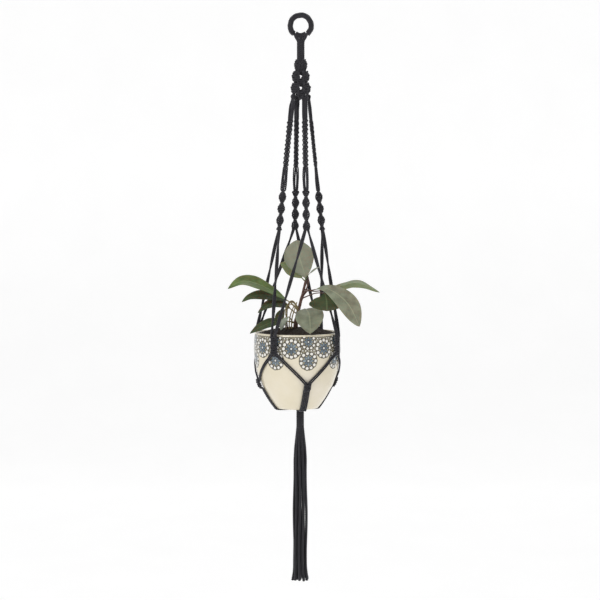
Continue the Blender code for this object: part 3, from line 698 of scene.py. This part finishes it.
def lace_masks(m, co):
    """The same flowers as shader masks: blue petals, white beads, dark lines, khaki ground."""
    sep = m.new("ShaderNodeSeparateXYZ")
    m.link(co, sep.inputs[0])
    az = m.math("ARCTAN2", m.math("ADD", sep.outputs["X"], -POT_X * MM), m.math("MULTIPLY", sep.outputs["Y"], -1.0))
    depth = m.math("MULTIPLY_ADD", sep.outputs["Z"], -1000.0, RIM_Z)
    quiver = m.math("MULTIPLY_ADD", m.noise(co, 230.0, 2.0), 1.3, -0.65)
    blue = white = line = region = None

    def join(a, b):
        return b if a is None else m.math("MAXIMUM", a, b)

    def wrap(v, period):
        n = m.math("FLOORED_MODULO", m.math("ADD", v, period / 2), period)
        return m.math("SUBTRACT", n, period / 2)

    def hyp(a, b):
        return m.math("SQRT", m.math("ADD", m.math("MULTIPLY", a, a), m.math("MULTIPLY", b, b)))

    def stroke(dist, width):
        return m.math("SUBTRACT", 1.0, m.smooth(m.math("ABSOLUTE", dist), width * 0.55, width))

    for caz, cd, rb, nb in FLOWERS:
        du = m.math("MULTIPLY", wrap(m.math("SUBTRACT", az, math.radians(caz)), math.pi / 4), BAND_R)
        dv = m.math("SUBTRACT", depth, cd)
        rho = m.math("ADD", hyp(du, dv), m.math("MULTIPLY", quiver, 0.9))
        ang = m.math("ARCTAN2", dv, du)
        edge = m.math("MULTIPLY_ADD", m.math("COSINE", m.math("MULTIPLY", ang, 8.0)), 0.20 * rb, 0.86 * rb)
        inside = m.math("SUBTRACT", edge, rho)
        blue = join(blue, m.smooth(inside, -0.3, 0.5))
        line = join(line, stroke(inside, 1.0))
        line = join(line, m.math("MULTIPLY", stroke(wrap(m.math("ADD", ang, math.pi / 8), math.pi / 4), 0.10), m.math("MULTIPLY", m.smooth(rho, 1.5, 3.0), m.smooth(inside, -0.2, 0.6))))
        line = join(line, stroke(m.math("SUBTRACT", rho, 0.28 * rb), 0.7))
        white = join(white, m.math("SUBTRACT", 1.0, m.smooth(rho, 0.10 * rb, 0.2 * rb)))
        off = wrap(m.math("ADD", ang, math.pi / 8), math.pi / 4)
        pip = hyp(m.math("SUBTRACT", m.math("MULTIPLY", rho, m.math("COSINE", off)), 1.02 * rb), m.math("MULTIPLY", rho, m.math("SINE", off)))
        line = join(line, m.math("SUBTRACT", 1.0, m.smooth(pip, 0.8, 1.4)))
        sector = wrap(ang, math.tau / nb)
        dd = hyp(m.math("SUBTRACT", m.math("MULTIPLY", rho, m.math("COSINE", sector)), 1.30 * rb), m.math("MULTIPLY", rho, m.math("SINE", sector)))
        white = join(white, m.math("SUBTRACT", 1.0, m.smooth(dd, 0.24 * rb, 0.30 * rb)))
        line = join(line, stroke(m.math("SUBTRACT", dd, 0.33 * rb), 1.0))
        half = wrap(m.math("ADD", ang, math.pi / nb), math.tau / nb)
        dot = hyp(m.math("SUBTRACT", m.math("MULTIPLY", rho, m.math("COSINE", half)), 1.58 * rb), m.math("MULTIPLY", rho, m.math("SINE", half)))
        line = join(line, m.math("SUBTRACT", 1.0, m.smooth(dot, 0.9, 1.5)))
        region = join(region, m.math("SUBTRACT", 1.0, m.smooth(rho, 1.68 * rb, 1.74 * rb)))
    # small beads fill what is left of the band, down to a pointed scallop
    point = m.math("ABSOLUTE", wrap(m.math("SUBTRACT", az, math.radians(15.0)), math.pi / 4))
    low = m.math("MULTIPLY_ADD", m.math("MAXIMUM", m.math("SUBTRACT", 1.0, m.math("MULTIPLY", point, 4.6)), 0.0), 20.0, 37.0)
    band = m.math("MULTIPLY", m.smooth(depth, 2.4, 3.4), m.math("SUBTRACT", 1.0, m.smooth(m.math("SUBTRACT", depth, low), -0.6, 0.6)))
    u = m.math("MULTIPLY", az, BAND_R)
    row = m.math("FLOOR", m.math("DIVIDE", depth, 4.3))
    bu = wrap(m.math("ADD", u, m.math("MULTIPLY", m.math("FLOORED_MODULO", row, 2.0), 2.6)), BAND_R * math.tau / 96)
    bv = wrap(m.math("SUBTRACT", depth, 2.15), 4.3)
    bd = hyp(bu, bv)
    fill = m.math("MULTIPLY", band, m.math("SUBTRACT", 1.0, region))
    white = m.math("MULTIPLY", white, m.math("MAXIMUM", m.smooth(depth, 2.4, 3.0), 0.0))
    fw = m.math("MULTIPLY", m.math("SUBTRACT", 1.0, m.smooth(bd, 1.2, 1.6)), fill)
    fl = m.math("MULTIPLY", stroke(m.math("SUBTRACT", bd, 1.9), 0.8), fill)
    white = m.math("MAXIMUM", white, fw)
    line = m.math("MAXIMUM", m.math("MULTIPLY", line, m.smooth(depth, 2.2, 3.0)), fl)
    blue = m.math("MULTIPLY", blue, m.smooth(depth, 2.4, 3.2))
    ground = m.math("MAXIMUM", band, m.math("MULTIPLY", region, m.smooth(depth, 2.2, 3.2)))
    return blue, white, line, ground


def pot_profile():
    d = np.r_[np.linspace(0, 2.2, 4)[:-1], np.arange(2.2, 68, 1.2), np.linspace(68.8, 140, 20)]
    k = np.linspace(0, 140, 400)
    raw = np.interp(k, [p[0] for p in OUTLINE], [p[1] for p in OUTLINE])
    w = np.ones(15) / 15
    pad = np.pad(raw, 7, mode="edge")
    sm = np.convolve(pad, w, "valid")
    sm = np.minimum(sm, raw + 0.15)
    sm[:8] = raw[:8]
    sm[-8:] = raw[-8:]
    return d, np.interp(d, k, sm)


nu = 360
d, R = pot_profile()
azg = np.linspace(0, 360, nu, endpoint=False)
AZ, D = np.meshgrid(azg, d)
high = lace_height(AZ, D) * smoothstep(D, 2.5, 4.0)
RR = R[:, None] + high * 0.4
ar = np.radians(AZ)
wall = np.stack([POT_X + RR * np.sin(ar), -RR * np.cos(ar), RIM_Z - D], -1).reshape(-1, 3)
rows_, masks = [], []


def ring_row(r, z):
    return np.stack([POT_X + r * np.sin(np.radians(azg)), -r * np.cos(np.radians(azg)), np.full(nu, RIM_Z + z)], -1)


inner = [(r - 4.6, -dd) for dd, r in OUTLINE[2:8]]
lip = [(73.6, -6.0), (74.0, -2.2), (74.6, -0.6), (75.6, 0.15), (76.8, 0.25)]
top = np.vstack([ring_row(r, z) for r, z in [(60, -100), (70, -60), (74.9, -30), (74.6, -12)] + lip])
bottom = np.vstack([ring_row(r, z) for r, z in [(37.6, -140.3), (34.0, -140.3), (32.5, -139.3), (10, -139.2), (0.4, -139.2)]])
verts = np.vstack([top, wall, bottom])
m = Nodes("cream_lace_glaze")
co = m.new("ShaderNodeTexCoord").outputs["Object"]
drift = m.noise(co, 16.0, 3.0)
fine = m.noise(co, 160.0, 4.0)
blue, white, line, ground = lace_masks(m, co)
cream = m.ramp(drift, [(0.3, (0.78, 0.70, 0.52)), (0.55, (0.82, 0.745, 0.58)), (0.75, (0.85, 0.78, 0.65))])
cream = m.mix(m.math("MULTIPLY", fine, 0.12), cream, (0.62, 0.54, 0.40))
khaki = m.ramp(fine, [(0.3, (0.30, 0.27, 0.16)), (0.7, (0.58, 0.53, 0.36))])
col = m.mix(m.math("MULTIPLY", ground, 0.85), cream, khaki)
bluec = m.ramp(fine, [(0.3, (0.06, 0.09, 0.12)), (0.52, (0.14, 0.19, 0.23)), (0.75, (0.36, 0.43, 0.47))])
col = m.mix(blue, col, bluec)
col = m.mix(white, col, (0.88, 0.86, 0.80))
linec = m.ramp(drift, [(0.35, (0.030, 0.026, 0.018)), (0.7, (0.07, 0.055, 0.035))])
col = m.mix(m.math("MULTIPLY", line, 0.95), col, linec)
m.link(col, m.bsdf.inputs["Base Color"])
m.link(m.math("MULTIPLY_ADD", fine, 0.15, 0.14), m.bsdf.inputs["Roughness"])
m.bsdf.inputs["Coat Weight"].default_value = 0.4
m.bsdf.inputs["Coat Roughness"].default_value = 0.12
m.bump(m.math("ADD", m.math("MULTIPLY", fine, 0.15), m.math("ADD", m.math("MULTIPLY", white, 0.8), m.math("MULTIPLY", blue, 0.5))), 0.35, 0.0006)
POT = m.mat
pot = grid_piece("glazed_pot", verts, nu, len(verts) // nu, True, POT)
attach(pot, "pot"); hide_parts("pot")

# ---- soil --------------------------------------------------------------------------------------------------------
from mathutils import noise as mnoise
nr, na = 46, 190
f = np.linspace(1.0, 0.004, nr)
aa = np.linspace(0, math.tau, na, endpoint=False)
F, A_ = np.meshgrid(f, aa, indexing="ij")
rad = 73.6 * F
X, Y = POT_X + rad * np.sin(A_), -rad * np.cos(A_)
base = -5.0 + 12.5 * (1 - F**2.4)
Zs = np.array([[mnoise.noise(Vector((x * 0.16, y * 0.16, 1.3))) * 1.7 + abs(mnoise.noise(Vector((x * 0.45, y * 0.45, 4.1)))) * 1.9 + mnoise.noise(Vector((x * 1.1, y * 1.1, 7.7))) * 0.6 for x, y in zip(rx, ry)] for rx, ry in zip(X, Y)])
Z = RIM_Z + base + Zs
ms = Nodes("dark_potting_soil")
co = ms.new("ShaderNodeTexCoord").outputs["Object"]
v = ms.new("ShaderNodeTexVoronoi")
v.inputs["Scale"].default_value = 260.0
ms.link(co, v.inputs["Vector"])
n1 = ms.noise(co, 420.0, 5.0, 0.7)
col = ms.ramp(n1, [(0.3, (0.010, 0.007, 0.005)), (0.55, (0.035, 0.022, 0.014)), (0.8, (0.085, 0.058, 0.04))])
ms.link(ms.mix(0.35, col, ms.ramp(v.outputs["Distance"], [(0.0, (0.05, 0.035, 0.025)), (0.6, (0.012, 0.009, 0.006))])), ms.bsdf.inputs["Base Color"])
ms.bsdf.inputs["Roughness"].default_value = 0.95
ms.bump(ms.math("ADD", n1, v.outputs["Distance"]), 0.8, 0.0015)
verts = np.stack([X, Y, Z], -1).reshape(-1, 3)
wallrow = np.stack([X[0], Y[0], np.full(na, RIM_Z - 40.0)], -1)
botrow = np.stack([POT_X + (X[0] - POT_X) * 0.02, Y[0] * 0.02, np.full(na, RIM_Z - 40.0)], -1)
soil = grid_piece("soil_mound", np.vstack([botrow, wallrow, verts]), na, nr + 2, True, ms.mat)
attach(soil, "pot"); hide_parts("soil")


# ---- plant ----------------------------------------------------------------------------------------------------------
def bark_material(name, a, b):
    m = Nodes(name)
    uv = m.new("ShaderNodeUVMap", uv_map="strand").outputs["UV"]
    mp = m.new("ShaderNodeMapping")
    mp.inputs["Scale"].default_value = (9.0, 1.2, 1.0)
    m.link(uv, mp.inputs["Vector"])
    n = m.noise(mp.outputs["Vector"], 2.0, 4.0)
    m.link(m.ramp(n, [(0.3, a), (0.7, b)]), m.bsdf.inputs["Base Color"])
    m.link(m.math("MULTIPLY_ADD", n, 0.3, 0.45), m.bsdf.inputs["Roughness"])
    m.bump(n, 0.4, 0.0005)
    return m.mat


BARK = bark_material("reddish_stem_bark", (0.055, 0.024, 0.018), (0.17, 0.085, 0.06))
STALK = bark_material("straw_stalk", (0.22, 0.17, 0.07), (0.45, 0.36, 0.18))
GREENSTALK = bark_material("green_stalk", (0.10, 0.13, 0.04), (0.22, 0.25, 0.10))


def leaf_material(name, face, under, pale):
    m = Nodes(name)
    uv = m.new("ShaderNodeUVMap", uv_map="blade").outputs["UV"]
    s = m.new("ShaderNodeSeparateXYZ")
    m.link(uv, s.inputs[0])
    x = m.math("ABSOLUTE", m.math("MULTIPLY_ADD", s.outputs["X"], 2.0, -1.0))
    rib = m.math("SUBTRACT", 1.0, m.math("MULTIPLY", x, 14.0))
    rib = m.math("MAXIMUM", rib, 0.0)
    lat = m.math("SINE", m.math("MULTIPLY", m.math("SUBTRACT", s.outputs["Y"], m.math("MULTIPLY", x, 0.16)), 62.0))
    vein = m.math("MAXIMUM", m.math("MULTIPLY_ADD", lat, 6.0, -5.2), 0.0)
    vein = m.math("MULTIPLY", vein, m.math("SUBTRACT", 1.0, x))
    co = m.new("ShaderNodeTexCoord").outputs["Object"]
    blotch = m.noise(co, 45.0, 4.0)
    fine = m.noise(co, 700.0, 3.0)
    dark = tuple(c * 0.62 for c in face)
    lite = tuple(min(c * 1.35, 1) for c in face)
    top = m.ramp(blotch, [(0.3, dark), (0.5, face), (0.72, lite)])
    bot = m.ramp(blotch, [(0.3, tuple(c * 0.8 for c in under)), (0.7, tuple(min(c * 1.15, 1) for c in under))])
    col = m.mix(m.attr("under"), top, bot)
    edge = m.math("MAXIMUM", m.math("MULTIPLY_ADD", x, 9.0, -8.2), 0.0)
    col = m.mix(m.math("MINIMUM", m.math("ADD", m.math("MULTIPLY", rib, 0.75), m.math("MULTIPLY", vein, 0.22)), 0.8), col, pale)
    col = m.mix(m.math("MULTIPLY", edge, 0.35), col, pale)
    m.link(col, m.bsdf.inputs["Base Color"])
    m.link(m.math("MULTIPLY_ADD", fine, 0.2, 0.42), m.bsdf.inputs["Roughness"])
    m.bsdf.inputs["Specular IOR Level"].default_value = 0.32
    m.bsdf.inputs["Subsurface Weight"].default_value = 0.06
    m.bsdf.inputs["Subsurface Scale"].default_value = 0.004
    h = m.math("ADD", m.math("MULTIPLY", vein, -0.5), m.math("MULTIPLY", fine, 0.2))
    m.bump(h, 0.35, 0.0006)
    return m.mat


GREY = leaf_material("leaf_grey_green", (0.25, 0.275, 0.19), (0.26, 0.29, 0.21), (0.40, 0.42, 0.27))
GREEN = leaf_material("leaf_mid_green", (0.11, 0.18, 0.055), (0.20, 0.26, 0.13), (0.34, 0.40, 0.19))
DEEP = leaf_material("leaf_deep_green", (0.052, 0.080, 0.032), (0.070, 0.098, 0.045), (0.16, 0.20, 0.09))
PALE = leaf_material("leaf_pale_grey", (0.36, 0.39, 0.31), (0.38, 0.41, 0.33), (0.50, 0.52, 0.40))


def leaf(name, mid, stalk, half, side, fold, mat, stalk_mat, node=None, shape=0.75, skew=0.85, curl=0.0, wave=0.8, seed=0, stalk_r=1.15):
    """A blade lofted along its midrib, thin and closed, and its stalk."""
    g = np.random.default_rng(seed)
    path, d = resample(smooth_path(mid, 12), 1.0)
    total = d[-1]
    cut = int(len(path) * stalk)
    parts = [tube(path[: cut + 3], np.linspace(stalk_r * 1.15, stalk_r * 0.85, 8), 1.2, 8, 20, 0.02)]
    ns, nw = 46, 15
    s_at = np.linspace(stalk * total, total, ns)
    P = np.column_stack([np.interp(s_at, d, path[:, i]) for i in range(3)])
    T = np.gradient(P, axis=0); T /= np.linalg.norm(T, axis=1)[:, None]
    S0 = np.asarray(side, float)
    S = S0 - T * (T @ S0)[:, None]; S /= np.linalg.norm(S, axis=1)[:, None]
    N = np.cross(T, S)
    v = np.linspace(0, 1, ns)
    W = half * np.sin(np.pi * np.clip(v, 0, 1) ** skew) ** shape
    W = np.maximum(W, 0.5 * (1 - v) + 0.12)
    x = np.linspace(-1, 1, nw)
    ph = g.uniform(0, 6.28)
    rise = fold * W[:, None] * (np.abs(x)[None, :] ** 1.25) - curl * W[:, None] * x[None, :] ** 2 * v[:, None]
    rise = rise + wave * 0.5 * np.sin(v * 17 + ph)[:, None] * (x[None, :] ** 2) * np.sign(x)[None, :] * np.minimum(1, W / 8)[:, None]
    ribs = 0.28 * np.sin((v[:, None] - 0.16 * np.abs(x)[None, :]) * 62.0) * (1 - np.abs(x)[None, :]) * np.minimum(1, W / 10)[:, None]
    centre = P[:, None, :] + S[:, None, :] * (W[:, None] * x[None, :])[..., None] + N[:, None, :] * (rise + ribs * 0.5)[..., None]
    thick = (0.32 * (1 - 0.75 * np.abs(x) ** 3))[None, :] * np.ones((ns, 1)) + 0.45 * np.exp(-(x[None, :] * W[:, None] / 0.9) ** 2) * (1 - 0.7 * v)[:, None]
    topv = centre + N[:, None, :] * (thick * 0.5)[..., None]
    botv = centre - N[:, None, :] * (thick * 0.5 + 0.25 * np.exp(-(x[None, :] * W[:, None] / 1.0) ** 2))[..., None]
    vs = np.vstack([topv.reshape(-1, 3), botv.reshape(-1, 3)])
    idx = np.arange(ns * nw).reshape(ns, nw)
    a, b = idx[:-1, :-1], idx[:-1, 1:]
    c, e = idx[1:, 1:], idx[1:, :-1]
    topf = np.stack([a, b, c, e], -1).reshape(-1, 4)
    off = ns * nw
    botf = np.stack([a, e, c, b], -1).reshape(-1, 4) + off
    rim = []
    loop = list(idx[0, :]) + list(idx[1:, -1]) + list(idx[-1, -2::-1]) + list(idx[-2:0:-1, 0])
    for p0, p1 in zip(loop, loop[1:] + loop[:1]):
        rim.append((p1, p0, p0 + off, p1 + off))
    faces = topf.tolist() + botf.tolist() + rim
    uvt = np.stack(np.broadcast_arrays((x[None, :] + 1) / 2, v[:, None]), -1).reshape(-1, 2)
    uv_all = np.vstack([uvt, uvt])
    nv0 = len(vs)
    all_v = [vs * MM]
    base = nv0
    tv, tq, tt, _, _ = parts[0]
    all_v.append(tv * MM)
    faces += (tq + base).tolist() + (tt + base).tolist()
    n_blade = len(topf) + len(botf) + len(rim)
    me = bpy.data.meshes.new(name)
    me.from_pydata(np.vstack(all_v).tolist(), [], faces)
    uv = me.uv_layers.new(name="blade")
    st = me.uv_layers.new(name="strand")
    loops_v = np.empty(len(me.loops), np.int32)
    me.loops.foreach_get("vertex_index", loops_v)
    uvv = np.vstack([uv_all, np.column_stack([np.linspace(0, 1, len(tv)), np.arange(len(tv)) / 60.0])])
    uv.data.foreach_set("uv", uvv[loops_v].astype(np.float32).ravel())
    st.data.foreach_set("uv", uvv[loops_v].astype(np.float32).ravel())
    under = np.r_[np.zeros(off), np.ones(off), np.zeros(len(tv))]
    at = me.attributes.new("under", "FLOAT", "POINT")
    at.data.foreach_set("value", under.astype(np.float32))
    me.materials.append(mat)
    me.materials.append(stalk_mat)
    mi = np.zeros(len(faces), np.int32)
    mi[n_blade:] = 1
    me.polygons.foreach_set("material_index", mi)
    me.shade_smooth()
    ob = bpy.data.objects.new(name, me)
    bpy.context.scene.collection.objects.link(ob)
    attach(ob, "pot")
    if node:
        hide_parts(node)
    return ob


leaf("blade_top", [(9.4, 1.6, -480.6), (5, -3, -461), (-3, -7, -435), (-8, -4, -406)], 0.06, 28, (1, 0.1, -0.1), 0.12, GREY, GREENSTALK, "leaf_top", 0.66, 1.3, seed=1)
leaf("blade_left_upper", [(-7.5, -5, -533), (-20, -8, -520), (-53, -12, -499), (-84, -22, -484), (-109, -30, -481), (-133, -36, -494)], 0.16, 17, (0, -0.8, -0.6), 0.15, GREEN, STALK, "leaf_left_upper", 0.8, 1.15, seed=2)
leaf("blade_left_middle", [(-8, 4.5, -533), (-23, 6, -519), (-47, 4, -511), (-71, -6, -507), (-93, -14, -510), (-108, -20, -519)], 0.2, 12, (0.1, -0.7, -0.7), 0.1, DEEP, STALK, "leaf_left_middle", seed=3)
leaf("blade_left_lower", [(-9, 2, -541), (-25, 4, -529), (-42, 2, -523), (-60, -2, -526), (-79, -6, -540)], 0.18, 12, (0, -0.75, -0.65), 0.15, DEEP, STALK, "leaf_left_lower", seed=4)
leaf("blade_left_rim", [(-13, -6, -557), (-31, -16, -554), (-47, -22, -555), (-64, -27, -560), (-80, -30, -568), (-93, -32, -576)], 0.25, 12, (0.15, -0.75, -0.6), 0.1, DEEP, STALK, "leaf_left_rim", seed=5)
leaf("blade_front", [(-4, -7, -540), (8, -18, -532), (15, -40, -540), (17, -62, -556), (17, -83, -572)], 0.2, 26, (1, 0, 0.1), 0.18, GREY, GREENSTALK, "leaf_front", 0.72, 0.85, seed=6)
leaf("blade_right_upper", [(7.5, 4.5, -497), (28, 12, -501), (56, 16, -496), (82, 17, -490), (99, 16, -486), (117, 12, -489), (146, 6, -503)], 0.3, 13, (0, -0.85, -0.5), 0.12, GREEN, BARK, "leaf_right_upper", 0.8, 0.95, seed=7)
leaf("blade_right_long", [(4, -2.5, -505), (11, -26, -499), (23, -52, -495), (43, -68, -491), (66, -78, -501), (88, -80, -523), (106, -74, -560)], 0.32, 19, (0.6, 0.3, 0.75), 0.1, GREY, BARK, "leaf_right_long", 0.75, 1.5, seed=8)
leaf("blade_right_front", [(1, -3.5, -514), (14, -27, -507), (27, -52, -501), (42, -60, -501), (46, -67, -510), (47, -76, -522), (47, -88, -531)], 0.62, 32, (1, 0, 0), 0.04, DEEP, BARK, "leaf_right_front", 0.62, 1.3, seed=9)
leaf("blade_green_lobe", [(7, 3.5, -481), (-8, 6, -466), (-23, 6, -455), (-38, 4, -449)], 0.12, 13, (0.5, 0.1, 0.8), 0.1, GREEN, GREENSTALK, None, 0.8, 1.0, seed=10)
leaf("blade_pale_rim", [(-14, -14, -558), (-22, -26, -546), (-31, -46, -553), (-36, -61, -568)], 0.3, 6.5, (1, 0, 0.2), 0.15, PALE, STALK, None, 0.8, 1.0, seed=11)
leaf("blade_young", [(9.5, -1, -478), (16, -18, -467), (23.5, -39, -460), (33, -56, -453)], 0.3, 3.0, (0.3, 0.3, 0.9), 0.1, PALE, GREENSTALK, None, 0.8, 1.0, wave=0.1, seed=12, stalk_r=0.6)
leaf("blade_dark_inner", [(-20, -6, -530), (-32, -14, -536), (-40, -24, -550), (-36, -32, -567)], 0.2, 10, (0.7, 0.6, 0.1), 0.15, DEEP, STALK, None, 0.8, 1.0, seed=13)

stem_pts = [(-10, 0, -574), (-7, -1, -550), (-3, 0, -531), (4, 2, -504), (9.4, 2, -480.5)]
sp = smooth_path(stem_pts, 10)
nn = len(sp)
rad = np.linspace(4.0, 2.3, nn) + 0.35 * np.maximum(0, np.sin(np.linspace(0, 22, nn))) ** 6
parts = [tube(sp, rad, 1.2, 12, 60, 0.05)]
parts.append(tube(smooth_path([(-24, -9, -574), (-25.5, -8, -552), (-24, -5, -530), (-17, -3, -519), (-9, -1, -525)], 8), np.linspace(1.5, 0.9, 10), 1.2, 10, 40, 0.05))
parts.append(tube(smooth_path([(2, 1, -512), (12, -6, -500), (17, -10, -497)], 8), np.linspace(1.5, 0.9, 6), 1.2, 10, 40, 0.05))
parts.append(tube(smooth_path([(3, 1, -512), (9, -3, -500), (13, -4, -488), (14, -3, -474)], 8), np.linspace(1.9, 1.0, 6), 1.2, 10, 40, 0.05))
parts.append(tube(smooth_path([(-12, -8, -573), (-11, -9, -556), (-6, -7, -540), (-2, -4, -529)], 8), np.linspace(2.1, 1.6, 6), 1.2, 10, 40, 0.05))
mesh_piece("plant_stems", parts, BARK, "pot", ["plant_stem"])
parts = []
for k, (dx, dz) in enumerate(((0, 0), (3, 4), (5, 9))):
    pts = [(-4, -5 - k, -531 - dz), (-14, -7 - k * 2, -518 - dz * 0.7), (-22 - dx, -8 - k * 2, -521 - dz), (-25 - dx * 0.6, -10 - 2 * k, -535 - dz)]
    parts.append(tube(smooth_path(pts, 8), np.linspace(1.0, 0.7, 5), 1.1, 8, 30, 0.03))
parts.append(tube(smooth_path([(-27, -16, -572), (-27.5, -15, -553), (-25, -12, -533)], 8), np.linspace(1.3, 0.9, 5), 1.1, 8, 30, 0.03))
parts.append(tube(smooth_path([(-17, -12, -573), (-16, -12, -550), (-11, -9, -532), (-7, -5, -520)], 8), np.linspace(1.4, 1.0, 5), 1.1, 8, 30, 0.03))
parts.append(tube(smooth_path([(-21, -14, -573), (-21, -14, -556), (-18, -12, -540), (-12, -8, -526)], 8), np.linspace(1.4, 1.0, 5), 1.1, 8, 30, 0.03))
mesh_piece("straw_stalks", parts, STALK, "pot")

# ---- floor, backdrop and light ------------------------------------------------------------------------------------------
prof = [(-9.0, -1.75), (5.0, -1.75)] + [(5.0 + 1.5 * math.sin(t), -0.25 - 1.5 * math.cos(t)) for t in np.linspace(0.15, math.pi / 2, 8)] + [(6.5, 6.5)]
me = bpy.data.meshes.new("studio_sweep")
vs = [(x, y, z) for y, z in prof for x in (-10.0, 10.0)]
me.from_pydata(vs, [], [(2 * i, 2 * i + 1, 2 * i + 3, 2 * i + 2) for i in range(len(prof) - 1)])
me.shade_smooth()
mw = Nodes("pale_studio_paper")
nz = mw.noise(mw.new("ShaderNodeTexCoord").outputs["Object"], 4.0)
mw.link(mw.ramp(nz, [(0.3, (0.46, 0.46, 0.46)), (0.7, (0.48, 0.48, 0.48))]), mw.bsdf.inputs["Base Color"])
mw.bsdf.inputs["Roughness"].default_value = 1.0
mw.bsdf.inputs["Emission Color"].default_value = (1, 1, 1, 1)
mw.bsdf.inputs["Emission Strength"].default_value = 0.65
me.materials.append(mw.mat)
sweep = bpy.data.objects.new("studio_sweep", me)
bpy.context.scene.collection.objects.link(sweep)

world = bpy.data.worlds.new("studio") if bpy.context.scene.world is None else bpy.context.scene.world
bpy.context.scene.world = world
world.use_nodes = True
world.node_tree.nodes["Background"].inputs[0].default_value = (1.0, 1.0, 1.0, 1)
world.node_tree.nodes["Background"].inputs[1].default_value = 0.5


def area(name, at, to, size, power):
    li = bpy.data.lights.new(name, "AREA")
    li.shape = "DISK"
    li.size = size
    li.energy = power
    ob = bpy.data.objects.new(name, li)
    ob.location = at
    ob.rotation_euler = (Vector(to) - Vector(at)).to_track_quat("-Z", "Y").to_euler()
    bpy.context.scene.collection.objects.link(ob)


area("key", (-1.6, -2.4, 1.0), (0, 0, -0.5), 1.2, 30)
area("fill", (2.2, -1.8, 0.0), (0, 0, -0.5), 1.8, 6)
area("back", (0.3, 1.6, 1.2), (0, 0, -0.4), 1.2, 12)

bpy.context.view_layer.update()
